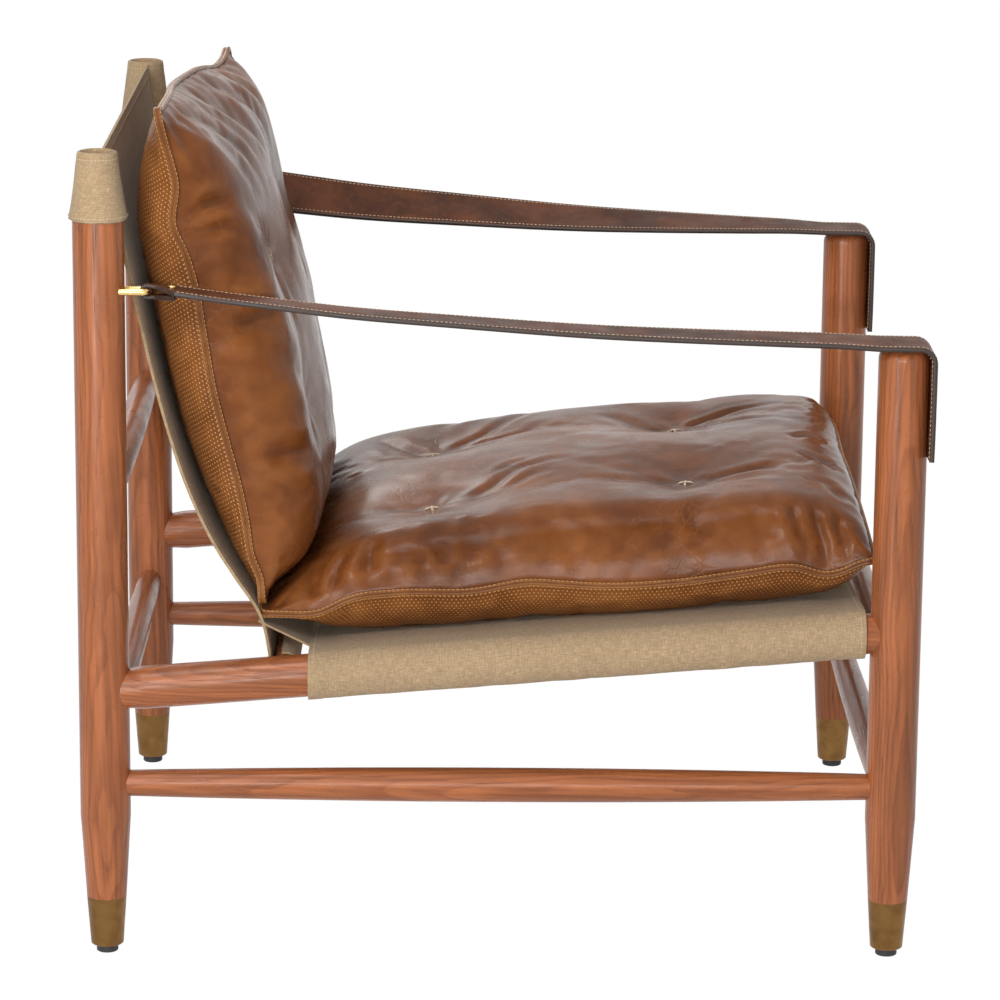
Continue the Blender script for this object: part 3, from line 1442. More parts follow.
    def swollen(self, top: np.ndarray, low: np.ndarray) -> tuple[np.ndarray, np.ndarray]:
        """Blow the cover up as cloth, held at its seam and tufts, and move it by a share of that."""
        points, faces, lower = self.assembled(top, low)
        upper = np.arange(top[..., 0].size).reshape(top.shape[:2])
        x, y = self.plan_x, self.plan_y
        held = np.zeros(len(points), bool)
        held[upper[border_mask(upper.shape)]] = True
        for reach in self.tuft_reaches(x, y):
            held[upper[reach < max(0.006, reach.min() * 1.2)]] = True
        rest = self.belly_rest
        held[lower[(self.half - np.abs(x) > rest) & (y > rest) & (y < self.length - rest)]] = True
        piece = make_object(f"{self.label}_swelling", points, faces, [])
        group = piece.vertex_groups.new(name="held")
        group.add(np.flatnonzero(held).tolist(), 1.0, "REPLACE")
        cloth = piece.modifiers.new("Cloth", "CLOTH")
        settings = {
            "quality": 6, "mass": 0.4, "tension_stiffness": 18.0, "compression_stiffness": 18.0,
            "shear_stiffness": 8.0, "bending_stiffness": 0.8, "use_pressure": True,
            "uniform_pressure_force": 4.0, "shrink_min": -0.02, "vertex_group_mass": "held",
        }
        for name, value in settings.items():
            setattr(cloth.settings, name, value)
        cloth.settings.effector_weights.gravity = 0.0
        cloth.collision_settings.use_collision = False
        cloth.point_cache.frame_start = 1
        cloth.point_cache.frame_end = self.swell_frames
        scene = bpy.context.scene
        for frame in range(1, self.swell_frames + 1):
            scene.frame_set(frame)
        moved = vertices_of(piece.evaluated_get(bpy.context.evaluated_depsgraph_get()))
        bpy.data.objects.remove(piece)
        scene.frame_set(1)
        shift = moved - points
        reach = np.linalg.norm(shift, axis=1, keepdims=True)
        shift *= self.swell_share * np.minimum(1.0, self.swell_cap / np.maximum(reach, 1e-9))
        LOG.info("%s swelled by up to %.1f mm", self.label, float(reach.max()) * 1000)
        calm = np.ones(upper.shape)
        for reach in self.tuft_reaches(x, y):
            calm *= 1 - np.exp(-((reach / self.tuft_reach) ** 2))
        return top + shift[upper] * calm[..., None], low + shift[lower] * calm[..., None]

    def insets(self, x: np.ndarray, y: np.ndarray) -> list[np.ndarray]:
        """Distance on the plan from the near, far, first and last seam."""
        half = self.half_width - self.pull_in * 4 * (y / self.length) * (1 - y / self.length)
        return [np.clip(inset, 0, None) for inset in (half + x, half - x, y, self.length - y)]

    def seam_shift(self, x: np.ndarray, y: np.ndarray) -> np.ndarray:
        """How far the seam wanders towards the crown, fading out away from it."""
        share, across = y / self.length, x / self.half_width
        knots = (self.near_seam, self.far_seam, self.first_seam, self.last_seam)
        lifts = [curved(place, *zip(*line)) for line, place in zip(knots, (share, share, across, across))]
        weights = [np.exp(-inset / self.seam_reach) for inset in self.insets(x, y)]
        mean = sum(weight * lift for weight, lift in zip(weights, lifts)) / sum(weights)
        return mean * np.maximum.reduce(weights)

    def drift(self, x: np.ndarray, y: np.ndarray) -> np.ndarray:
        """Moves that crown and belly share: the seam's, the first end's twist and both ends' pull."""
        turn = np.clip((x / self.half_width + 0.5) / 1.5, 0, 1)
        fade = np.clip(1 - y / self.twist_reach, 0, 1)
        lift = self.twist * turn * turn * fade * fade * (3 - 2 * fade) + self.seam_shift(x, y)
        across = x / self.half_width
        insets = self.insets(x, y)
        first = curved(across, *zip(*self.first_pull)) * np.exp(-insets[2] / self.first_pull_reach)
        last = curved(across, *zip(*self.last_pull)) * np.exp(-insets[3] / self.last_pull_reach)
        return lift[..., None] * self.normal + (first - last)[..., None] * self.along

    def gathers(self, x: np.ndarray, y: np.ndarray) -> np.ndarray:
        """Small upright puckers that the sewing pulls into the leather beside the seam."""
        near, far, first, last = self.insets(x, y)
        sideways, endways = np.minimum(near, far), np.minimum(first, last)
        run = np.where(sideways < endways, y, x) + np.where(x > 0, 3.0, 0.0)
        run += np.where(y > self.length / 2, 5.0, 0.0)
        inset = np.minimum(sideways, endways)
        wave = ripple(run / 0.062, self.seed, 2)
        ridges = np.where(wave > 0, wave * 0.8, -(np.maximum(-wave, 0) ** 1.4) * 1.3)
        envelope = np.exp(-(((inset - 0.013) / 0.014) ** 2)) + 0.35 * np.exp(-(((inset - 0.03) / 0.022) ** 2))
        patchy = np.clip(0.55 + 0.6 * ripple(run / 0.21, self.seed + 7, 1), 0.1, 1.2)
        corner = np.exp(-np.abs(sideways + endways) / self.corner_reach)
        return ridges * envelope * (self.gather_height * patchy + self.corner_height * corner)

    def creases(self, x: np.ndarray, y: np.ndarray) -> np.ndarray:
        """Height of the folds, and of the creases that run into every tuft."""
        height = np.zeros(x.shape)
        for fold in self.folds:
            reach, share = line_reach(x, y, fold.line)
            ends = (share / fold.start_fade, (1 - share) / fold.end_fade)
            fade = eased(np.clip(ends[0], 0, 1) * np.clip(ends[1], 0, 1))
            q = reach / fold.width
            height -= fold.depth * fade * (np.exp(-(q**1.4)) - 0.45 * np.exp(-(((q - 2.0) / 0.9) ** 2)))
        for number, (tuft_x, tuft_y) in enumerate(self.tufts):
            angle = np.arctan2(y - tuft_y, x - tuft_x)
            reach = np.hypot(x - tuft_x, y - tuft_y)
            spokes = np.abs(ripple(angle / (2 * math.pi) * 3 + number * 0.37, self.seed + number, 2))
            height += (spokes - 0.4) * self.spoke_height * np.exp(-(((reach - 0.018) / 0.014) ** 2))
        return height

    def wrinkles(self, x: np.ndarray, y: np.ndarray, number: int) -> np.ndarray:
        """Slack in the hide: long low waves that lean a little, and finer ones between."""
        warp = 0.02 * ripple(y / 0.16, self.seed + number, 2)
        long_wave = ripple((x + warp + 0.12 * y) / 0.085, self.seed + 20 + number, 2)
        where = 0.5 + 0.5 * ripple(y / 0.21 + x / 0.3, self.seed + 30 + number, 1)
        fine = ripple((x * 0.8 + y * 0.45 + warp) / 0.03, self.seed + 40 + number, 2)
        fine *= ripple(y / 0.12, self.seed + 50, 1)
        return self.slack_height * long_wave * where + self.wrinkle_height * fine

    def cover(self) -> tuple[np.ndarray, np.ndarray]:
        """Finished points of the crown and the belly."""
        top, low = self.shells()
        top, low = self.swollen(top, low)
        x, y = refined(self.plan_x, self.factor), refined(self.plan_y, self.factor)
        top, low = refined(top, self.factor), refined(low, self.factor)
        inset = np.minimum.reduce(self.insets(x, y))
        calm = np.clip(inset / self.calm_reach, 0, 1)
        calm[border_mask(calm.shape)] = 0
        shift = self.drift(x, y)
        relief = self.creases(x, y) + self.gathers(x, y) + self.wrinkles(x, y, 0)
        top = top + grid_normals(top) * (relief * calm)[..., None] + shift
        under = 0.6 * self.gathers(x, y) + 0.6 * self.wrinkles(x, y, 3)
        low = low - grid_normals(low) * (under * calm)[..., None] + shift
        self.fine_x, self.fine_y, self.fine_inset = x, y, inset
        return top, low

    def hollow(self, grid: np.ndarray, outward: float) -> np.ndarray:
        """Where a shell is a ridge, above zero, or a hollow, below it."""
        outwards = grid_normals(grid) * outward
        total = np.zeros(grid.shape[:2])
        for rounds, height in ((6, 0.0005), (60, 0.0030)):
            stands = ((grid - blurred(grid, rounds)) * outwards).sum(axis=2)
            total += np.clip(stands / height, -1, 1) * 0.45
        return total

    def seam_depth(self, low: np.ndarray) -> np.ndarray:
        """Distance over the belly from the seam, for every point of its grid."""
        left, first = grid_runs(low, 1), grid_runs(low, 0)
        right, last = left[:, -1:] - left, first[-1:] - first
        self.belly_reaches = (left, right, first, last)
        return np.minimum(np.minimum(left, right), np.minimum(first, last))

    def build_cover(self) -> Object:
        """The closed leather cover, punched below the seam."""
        top, low = self.cover()
        self.top, self.low = top, low
        points, faces, lower = self.assembled(top, low)
        piece = make_object(f"{self.label}_cover", points, faces, [self.finishes.hide, self.finishes.punched])
        depth = self.seam_depth(low)
        rows, columns = top.shape[:2]
        crown_faces = (rows - 1) * (columns - 1)
        on_band = (depth[:-1, :-1] + depth[1:, 1:]).ravel() / 2 < self.band_depth
        material = np.concatenate([np.zeros(crown_faces, np.int32), on_band.astype(np.int32)])
        piece.data.polygons.foreach_set("material_index", material)
        values = np.zeros(len(points))
        values[: rows * columns] = self.hollow(top, 1.0).ravel()
        values[lower[1:-1, 1:-1].ravel()] = self.hollow(low, -1.0)[1:-1, 1:-1].ravel()
        set_attribute(piece, "hollow", values)
        recalculated(piece)
        names = [f"{self.label}_{part}" for part in ("top_panel", "perforated_band", "bottom_panel", "foam_core")]
        return dress(piece, self.body, Slot.HIDE, *names)

    def build_welt(self) -> None:
        """The raised seam, eared at two corners, and a row of stitches on each of its plies."""
        line = smooth_line(resampled(rim_of(self.top), self.welt_step, closed=True), closed=True, rounds=6)
        tangent = unit(np.roll(line, -1, axis=0) - np.roll(line, 1, axis=0))
        outward = unit(np.cross(tangent, self.normal))
        centre = line.mean(axis=0)
        if ((line - centre) * outward).sum() < 0:
            outward = -outward
        upward = np.cross(outward, tangent)
        upward *= np.sign((upward @ self.normal))[:, None]
        local = line - np.array(self.origin)
        x, y = local[:, 0], local @ self.along
        end = self.length * self.eared_end
        corner = np.hypot(np.abs(x) - self.half_width, y - end)
        ear = self.ear_reach * np.exp(-((corner / self.ear_width) ** 2))
        line = line + outward * (self.welt_shift + ear)[:, None]
        lobe, gap = self.welt_lobe, self.welt_gap
        angles = np.radians(np.linspace(-115, 48, 7))
        low_lobe = [(math.cos(a) * lobe + 0.0006, math.sin(a) * lobe - gap) for a in angles]
        high_lobe = [(px, -pz) for px, pz in low_lobe[::-1]]
        profile = np.array([(-0.006, -0.001)] + low_lobe + high_lobe + [(-0.006, 0.001)])
        welt = swept(f"{self.label}_raised_seam", line, outward, upward, profile, True, [self.finishes.rolled])
        set_attribute(welt, "hollow", np.tile(np.where(np.abs(profile[:, 1]) < 0.0007, -1.0, 0.3), len(line)))
        dress(welt, self.body, Slot.HIDE, f"{self.label}_seam_welt")
        rows = []
        for end in (-1, 1):
            row = line + outward * 0.0020 + upward * end * (gap + lobe * 0.74)
            rows.append(np.vstack([row, row[:1]]))
        name = f"{self.label}_seam_sewing"
        thread = self.stitches.sew(name, rows, self.finishes.tan_thread, SEAM_STITCH)
        dress(thread, self.body, Slot.THREAD)

    def build_pinholes(self) -> None:
        """Punched holes over the band below the seam, side by side with mitred corners."""
        reaches = self.belly_reaches
        nearest = np.argmin(np.stack(reaches), axis=0)
        margin = self.hole_pitch * 1.2
        points, faces, chart, start = [], [], [], 0
        offset = 0.0
        for number, reach in enumerate(reaches):
            run = reaches[2] if number < 2 else reaches[0]
            mask = (nearest == number) & (reach < self.band_depth - margin + 0.004)
            keep = mask[:-1, :-1] & mask[1:, 1:] & mask[:-1, 1:] & mask[1:, :-1]
            used = np.zeros(mask.shape, bool)
            for part in (used[:-1, :-1], used[1:, :-1], used[:-1, 1:], used[1:, 1:]):
                part |= keep
            index = np.full(mask.shape, -1)
            index[used] = np.arange(used.sum()) + start
            start += int(used.sum())
            points.append(self.low[used])
            chart.append(np.column_stack([run[used] + offset, reach[used]]))
            corners = (index[:-1, 1:], index[1:, 1:], index[1:, :-1], index[:-1, :-1])
            faces += list(zip(*(corner[keep].tolist() for corner in corners)))
            offset += float(run.max()) + 0.02
        seed = make_object(f"{self.label}_band_chart", np.vstack(points), faces, [])
        set_uv(seed, np.vstack(chart))
        mesh = seed.data
        bpy.data.objects.remove(seed)
        values = {
            "Pitch": self.hole_pitch, "Hole Radius": self.hole_radius, "Run": offset, "Depth": self.band_depth,
            "Margin": margin, "Lining": self.finishes.pinhole,
        }
        piece = grown(f"{self.label}_pinholes", mesh, self.pinholes.tree, values)
        dress(piece, self.body, Slot.HIDE)

    def build_tufts(self) -> None:
        """A crossed pair of doubled threads over every tuft."""
        parts = []
        radius = self.cross_thread
        angles = np.linspace(0, 2 * math.pi, 9)[:-1]
        ring = np.column_stack([np.cos(angles), np.sin(angles)]) * radius
        steps = self.cross_steps
        shares = np.linspace(-1, 1, steps)[:, None]
        lift = self.cross_rise * (1 - shares**4) - 0.0002
        for number, reach in enumerate(self.tuft_reaches(self.fine_x, self.fine_y)):
            row, column = np.unravel_index(int(np.argmin(reach)), reach.shape)
            centre = self.top[row, column]
            normal = grid_normals(self.top)[row, column]
            first = np.cross(normal, self.along)
            first /= np.linalg.norm(first)
            second = np.cross(normal, first)
            lean = 0.35 * ripple(np.array([number * 0.3]), self.seed + 3, 1)[0]
            for turn in (lean, lean + math.pi / 2):
                run = first * math.cos(turn) + second * math.sin(turn)
                side = np.cross(normal, run)
                for offset in (-1, 1):
                    line = centre + shares * self.cross_arm * run + offset * radius * 1.05 * side + lift * normal
                    sides, normals = np.tile(side, (steps, 1)), np.tile(normal, (steps, 1))
                    parts.append(swept("thread", line, sides, normals, ring, False, [self.finishes.cream_thread]))
        piece = joined(f"{self.label}_tuft_crosses", parts)
        dress(piece, self.body, Slot.THREAD, f"{self.label}_tuft_ties")

    def build(self) -> None:
        """Make the cushion's pieces."""
        self.build_cover()
        self.build_welt()
        self.build_pinholes()
        self.build_tufts()


def joined(name: str, parts: list) -> Object:
    """Join mesh objects that share one material into a new piece."""
    mesh = bmesh.new()
    material = parts[0].data.materials[0]
    for part in parts:
        mesh.from_mesh(part.data)
        bpy.data.objects.remove(part)
    data = bpy.data.meshes.new(name)
    mesh.to_mesh(data)
    mesh.free()
    data.materials.append(material)
    data.shade_smooth()
    return linked(name, data)


# Canvas


@dataclass
class CanvasSling:
    """Canvas back, seat and web between them, with the pockets that slip over the posts."""

    finishes: Finishes
    stitches: StitchTree
    half_spacing: float = 0.306
    rear_y: float = 0.3687
    rail_rear: float = 0.2543
    rail_slope: float = 0.083
    rail_radius: float = 0.020
    cloth: float = 0.0018
    hem: float = 0.013
    hem_extra: float = 0.0009
    hem_margin: float = 0.002
    sleeve_stitch: float = 0.0045
    ease: float = 0.0014
    panel_half: float = 0.268
    wing_half: float = 0.2840
    wing_foot: float = 0.698
    panel_top: float = 0.759
    batten_forward: float = 0.167
    batten_loop: float = 0.0126
    loop_points: int = 20
    sleeve_start: float = 0.190
    sleeve_end: float = 0.706
    sag: float = 0.016
    web_forward: float = 0.144
    web_height: float = 0.312
    web_sag: float = 0.003
    back_origin: tuple = (0.3156, 0.7866)
    back_lean: float = 11.5
    back_length: float = 0.466
    back_belly: float = 0.054
    panel_shares: tuple = ((0.0, 1.000), (0.150, 1.050), (0.275, 1.045), (0.380, 1.027), (0.500, 1.007),
                           (0.629, 0.945), (0.750, 0.820), (0.872, 0.568), (0.940, 0.350), (1.027, 0.066))

    pocket_slack: float = 0.0005
    pocket_lip: float = 0.0006
    pocket_flat: tuple = (0.150, 0.070)
    pocket_seams: tuple = ((0.7018, 0.0272), (0.7540, 0.0189))
    pocket_outline: tuple = (
        (0.0245, 0.7000), (0.0250, 0.6984), (0.0262, 0.6984), (0.0264, 0.7000), (0.0256, 0.7030), (0.0245, 0.7070),
        (0.0233, 0.7120), (0.0216, 0.7220), (0.0200, 0.7330), (0.0188, 0.7430), (0.0178, 0.7520), (0.0174, 0.7580),
        (0.0168, 0.7598), (0.0158, 0.7596), (0.0150, 0.7572), (0.0140, 0.7552), (0.0060, 0.7546), (0.0, 0.7546),
    )

    def rail_height(self, forward: float) -> float:
        """Height of the side rails' axes at a distance in front of the rear posts."""
        return self.rail_rear + self.rail_slope * forward

    def cloth_sheet(self, name: str, grid: np.ndarray, extra: np.ndarray) -> Object:
        """A sheet of cloth with two faces and a rim.

        Args:
            name: Name of the piece.
            grid: Rows and columns of points on the middle of the cloth.
            extra: What each point adds to the cloth's thickness, as at a hem.

        Returns:
            The sheet, with its UV map in metres.
        """
        rows, columns = grid.shape[:2]
        normals = grid_normals(grid)
        half = (self.cloth + extra)[..., None] / 2
        points = np.vstack([(grid + normals * half).reshape(-1, 3), (grid - normals * half).reshape(-1, 3)])
        front = grid_faces(rows, columns)
        back = [face[::-1] for face in grid_faces(rows, columns, start=rows * columns)]
        number = np.arange(rows * columns).reshape(rows, columns)
        rim = rim_of(number)
        under = rim + rows * columns
        loops = (rim, under, np.roll(under, -1), np.roll(rim, -1))
        edge = list(zip(*(loop.tolist() for loop in loops)))
        piece = make_object(name, points, front + back + edge, [self.finishes.canvas])
        chart = np.column_stack([grid_runs(grid, 1).ravel(), grid_runs(grid, 0).ravel()])
        set_uv(piece, np.vstack([chart, chart]))
        recalculated(piece)
        sharpen(piece, 60.0)
        return piece

    def back_path(self) -> np.ndarray:
        """Middle of the back cloth as (y, z), from its top hem down and round the batten."""
        lean = math.radians(self.back_lean)
        down = np.array([-math.sin(lean), -math.cos(lean)])
        behind = np.array([math.cos(lean), -math.sin(lean)])
        clear = self.cloth / 2 + 0.0004
        front = [
            np.array(self.back_origin) + down * self.back_length * a + behind * (self.back_belly * b + clear)
            for a, b in self.panel_shares
        ]
        batten = np.array([self.rear_y - self.batten_forward, self.rail_height(self.batten_forward)])
        front.append(batten + np.array([self.batten_loop, 0.0]))
        front = np.array(front)
        runs = distances(front)
        places = np.arange(0.0, runs[-1], 0.004)
        line = np.column_stack([curved(places, runs, front[:, k]) for k in range(2)])
        line = line[line[:, 1] < self.panel_top]
        angles = np.radians(np.arange(self.loop_points) * -15.0)
        loop = batten + self.batten_loop * np.column_stack([np.cos(angles), np.sin(angles)])
        return np.vstack([line, loop])

    def back(self) -> Object:
        """The back cloth, winged where it meets the pockets."""
        path = self.back_path()
        sides = np.concatenate([[0.0, 0.01, 0.0145, 0.0150], np.linspace(0.03, 0.5, 28)])
        across = np.concatenate([sides * 2 - 1, (1 - sides[:-1] * 2)[::-1]])
        wing = np.clip((path[:, 1] - self.wing_foot + 0.004) / 0.010, 0, 1)
        half = self.panel_half + (self.wing_half - self.panel_half) * eased(wing)
        x = half[:, None] * across[None]
        height = path[:, 1:2]
        slack = 0.0012 * ripple(x / 0.09 + 0.2 * height, 11, 2) * np.clip((0.33 - height) / 0.05, 0, 1)
        y = path[:, :1] + np.abs(slack)
        hemmed = (half[:, None] - np.abs(x) < self.hem) | (self.panel_top - height < self.hem)
        extra = np.where(hemmed, self.hem_extra, 0.0)
        around = 1 - self.loop_points
        extra[around:] = 0.0
        piece = self.cloth_sheet("canvas_back", np.stack(np.broadcast_arrays(x, y, height), axis=2), extra)
        dress(piece, Body.FRAME, Slot.CANVAS, "canvas_back_panel")
        lines = []
        plain = path[:around]
        lift = (self.cloth + self.hem_extra) / 2
        where = half[:around] - self.hem + self.hem_margin
        top = self.panel_top - self.hem + self.hem_margin
        top_y = float(np.interp(-top, -plain[:, 1], plain[:, 0]))
        for face in (-1, 1):
            for side in (-1, 1):
                lines.append(np.column_stack([side * where, plain[:, 0] + face * lift, plain[:, 1]]))
        for face in (-1, 1):
            places = np.linspace(-self.wing_half, self.wing_half, 40)
            lines.append(np.array([(place, top_y + face * lift, top) for place in places]))
        self.sew("canvas_back_sewing", lines)
        return piece

    def seat_section(self) -> np.ndarray:
        """Middle of the seat cloth as (x, z) round one rail, over to the other and round it."""
        radius = self.rail_radius + self.ease
        angles = np.radians(np.arange(-170, 90, 12))
        right = np.column_stack([self.half_spacing + radius * np.cos(angles), radius * np.sin(angles)])
        x = np.linspace(self.half_spacing, -self.half_spacing, 72)
        web = np.column_stack([x, radius - self.sag * (1 - (x / self.half_spacing) ** 2)])
        left = right[::-1] * np.array([-1, 1])
        return np.vstack([right, web, left])

    def seat(self) -> Object:
        """The seat cloth with a sleeve round each side rail."""
        section = self.seat_section()
        hems = np.array([0.0, 0.004, 0.0125, 0.0135])
        length = self.sleeve_end - self.sleeve_start
        forward = np.concatenate([hems, np.linspace(0.03, length - 0.03, 56), length - hems[::-1]])
        forward += self.sleeve_start
        x = section[None, :, 0]
        z = section[None, :, 1] + self.rail_height(forward)[:, None]
        y = (self.rear_y - forward)[:, None]
        slung = np.clip((np.abs(x) - self.half_spacing) / 0.01, 0, 1)
        run = (forward - self.sleeve_start)[:, None]
        z = z - slung * np.abs(0.0010 * ripple(run / 0.12 + x * 2, 5, 2))
        x = x + np.sign(x) * slung * 0.0009 * ripple(run / 0.07 + z * 6, 6, 2)
        inset = np.minimum(run, length - run)
        extra = np.broadcast_to(np.where(inset < self.hem, self.hem_extra, 0.0), z.shape)
        piece = self.cloth_sheet("canvas_seat", np.stack(np.broadcast_arrays(x, y, z), axis=2), extra)
        dress(piece, Body.FRAME, Slot.CANVAS, "canvas_seat_panel")
        lines = []
        lift = (self.cloth + self.hem_extra) / 2
        row = section + lift * unit(np.column_stack([np.gradient(section[:, 1]), -np.gradient(section[:, 0])]))
        for end in (self.sleeve_start + self.sleeve_stitch, self.sleeve_end - self.sleeve_stitch):
            level = np.full(len(row), self.rear_y - end)
            lines.append(np.column_stack([row[:, 0], level, row[:, 1] + self.rail_height(end)]))
        self.sew("canvas_seat_sewing", lines)
        return piece

    def web(self) -> Object:
        """The cloth that joins the seat's rear edge to the back, behind the cushion."""
        x = np.linspace(-self.panel_half, self.panel_half, 60)
        hang = 1 - (x / self.half_spacing) ** 2
        low = self.rail_height(self.sleeve_start) + self.rail_radius + self.ease - self.sag * hang
        high = self.web_height - self.web_sag * hang
        shares = np.linspace(0, 1, 16)[:, None]
        z = low + (high - low) * shares
        y = self.rear_y - self.sleeve_start + (self.sleeve_start - self.web_forward + 0.002) * shares
        grid = np.stack(np.broadcast_arrays(x, y, z), axis=2)
        piece = self.cloth_sheet("canvas_web", grid, np.zeros(z.shape))
        return dress(piece, Body.FRAME, Slot.CANVAS, "canvas_gusset")

    def pocket(self, hand: str, side: int) -> Object:
        """A tapered pocket over a post's head, lipped at its mouth and folded flat on top."""
        rim = np.array(self.pocket_outline)
        runs = distances(rim)
        rim = interpolated(np.linspace(0.0, runs[-1], 46), runs, rim)
        turns = np.linspace(0, 2 * math.pi, 65)
        radius, height = rim[:, :1], rim[:, 1:]
        slack = np.clip((height - 0.70) / 0.02, 0, 1) * np.clip((0.762 - height) / 0.02, 0, 1)
        wave = ripple(turns[None] / (2 * math.pi) * 3 + height * 9, 17 + side, 2)
        wave = wave * np.clip(np.minimum(turns, 2 * math.pi - turns) / 0.4, 0, 1)[None]
        radius = radius + self.pocket_slack * slack * wave + self.pocket_slack * slack
        lip = np.exp(-((height - 0.700) / 0.006) ** 2)
        radius = radius + self.pocket_lip * lip * np.sin(2 * turns + 0.6)[None]
        x = side * self.half_spacing + radius * np.cos(turns)[None]
        y = self.rear_y + radius * np.sin(turns)[None]
        grid = np.stack(np.broadcast_arrays(x, y, height), axis=2)
        piece = self.cloth_sheet(f"canvas_pocket_{hand}", grid, np.zeros(x.shape))
        with edited(piece.data) as mesh:
            bmesh.ops.remove_doubles(mesh, verts=mesh.verts, dist=0.00001)
        dress(piece, Body.FRAME, Slot.CANVAS, f"post_pocket_{hand}")
        rows = []
        angles = np.linspace(0, 2 * math.pi, 60)
        for level, reach in self.pocket_seams:
            around = (side * self.half_spacing + reach * np.cos(angles), self.rear_y + reach * np.sin(angles))
            rows.append(np.column_stack([*around, np.full(len(angles), level)]))
        self.sew(f"canvas_pocket_sewing_{hand}", rows)
        return piece

    def sew(self, name: str, lines: list) -> None:
        """Sew rows of stitches in the cloth's own colour."""
        piece = self.stitches.sew(name, lines, self.finishes.canvas_thread, CANVAS_STITCH)
        dress(piece, Body.FRAME, Slot.CANVAS)

    def build(self) -> None:
        """Make every piece of canvas."""
        self.back()
        self.seat()
        self.web()
        for hand, side in HANDS.items():
            self.pocket(hand, side)


# Studio


@dataclass
class Studio:
    """White floor, plain soft light and the photograph's camera."""

    position: Point = (-4.15458, 0.04336, 1.36169)
    yaw: float = -0.0107
    pitch: float = 0.2354
    roll: float = 0.0088
    lens: float = 154.74
    sensor: float = 36.0
    floor_half: float = 30.0
    world_strength: float = 0.24
    lamp_colour: Colour = (1.0, 0.985, 0.965)

    def camera(self) -> None:
        """Stand the camera where the photograph was taken from."""
        level, fall = math.cos(self.pitch), math.sin(self.pitch)
        forward = np.array([level * math.cos(self.yaw), level * math.sin(self.yaw), -fall])
        right = np.array([math.sin(self.yaw), -math.cos(self.yaw), 0.0])
        up = np.cross(right, forward)
        rolled = math.cos(self.roll) * right + math.sin(self.roll) * up
        upright = math.cos(self.roll) * up - math.sin(self.roll) * right
        data = bpy.data.cameras.new("photograph")
        data.lens = self.lens
        data.sensor_width = self.sensor
        data.sensor_fit = "HORIZONTAL"
        data.clip_end = 100.0
        camera = linked("photograph", data)
        axes = Matrix((rolled, upright, -forward)).transposed().to_4x4()
        axes.translation = Vector(self.position)
        camera.matrix_world = axes
        bpy.context.scene.camera = camera

    def lamps(self) -> None:
        """Hang the softboxes: name, place, what each looks at, its width and height, and its watts."""
        for name, place, target, size, power in (
            ("overhead", (-0.6, 0.6, 2.6), (0.0, 0.0, 0.3), (0.8, 1.0), 19.0),
            ("side_key", (-2.4, 1.0, 2.0), (0.0, 0.0, 0.4), (0.9, 0.8), 26.0),
            ("low_strip", (-3.2, 0.3, 1.00), (0.0, 0.0, 0.4), (1.8, 0.10), 32.0),
            ("low_key", (-3.1, 1.3, 0.5), (0.0, 0.1, 0.4), (0.2, 0.9), 17.0),
            ("front_fill", (-3.0, -1.9, 1.2), (0.0, 0.0, 0.4), (1.0, 1.2), 3.0),
            ("far_rim", (2.6, 1.0, 1.9), (0.0, 0.0, 0.5), (1.0, 1.0), 11.0),
        ):
            data = bpy.data.lights.new(name, "AREA")
            data.shape = "RECTANGLE"
            data.size, data.size_y = size
            data.energy = power
            data.color = self.lamp_colour
            lamp = linked(name, data)
            lamp.location = place
            lamp.rotation_euler = (Vector(target) - Vector(place)).to_track_quat("-Z", "Y").to_euler()

    @staticmethod
    def seen(graph: Graph) -> NodeSocket:
        """One for rays from the camera, in reflections and through glass, zero for the rest."""
        path = graph.add("ShaderNodeLightPath")
        mirrored = graph.math("MAXIMUM", path.outputs["Is Glossy Ray"], path.outputs["Is Transmission Ray"])
        return graph.math("MAXIMUM", path.outputs["Is Camera Ray"], mirrored)

    def world(self) -> None:
        """White to the camera and in reflections, softer grey to everything else."""
        world = bpy.data.worlds.new("studio")
        world.use_nodes = True
        graph = Graph(world.node_tree)
        background = world.node_tree.nodes["Background"]
        background.inputs["Color"].default_value = (1.0, 1.0, 1.0, 1.0)
        ray = self.seen(graph)
        strength = graph.math("ADD", graph.math("MULTIPLY", ray, 1.0 - self.world_strength), self.world_strength)
        graph.fill(background, {"Strength": strength})
        bpy.context.scene.world = world

    def floor(self) -> None:
        """A white floor that reads as paper and keeps the chair's soft shadow."""
        half = self.floor_half
        mesh = bpy.data.meshes.new("floor")
        mesh.from_pydata([(-half, -half, 0), (half, -half, 0), (half, half, 0), (-half, half, 0)], [], [(0, 1, 2, 3)])
        material = bpy.data.materials.new("paper_floor")
        material.use_nodes = True
        graph = Graph(material.node_tree)
        shader = material.node_tree.nodes["Principled BSDF"]
        graph.fill(shader, {"Base Color": (0.9, 0.9, 0.9, 1.0), "Roughness": 0.9, "Specular IOR Level": 0.1})
        glow = graph.add("ShaderNodeEmission", {"Color": (1.0, 1.0, 1.0, 1.0), "Strength": 1.05})
        seen = graph.math("MULTIPLY", self.seen(graph), 0.94)
        mixed = graph.add("ShaderNodeMixShader", {0: seen, 1: shader.outputs[0], 2: glow.outputs[0]})
        graph.fill(material.node_tree.nodes["Material Output"], {"Surface": mixed.outputs[0]})
        mesh.materials.append(material)
        linked("floor", mesh)

    def build(self) -> None:
        """Set the whole studio up."""
        self.camera()
        self.lamps()
        self.world()
        self.floor()
        bpy.context.scene.view_settings.view_transform = "Standard"


# The chair


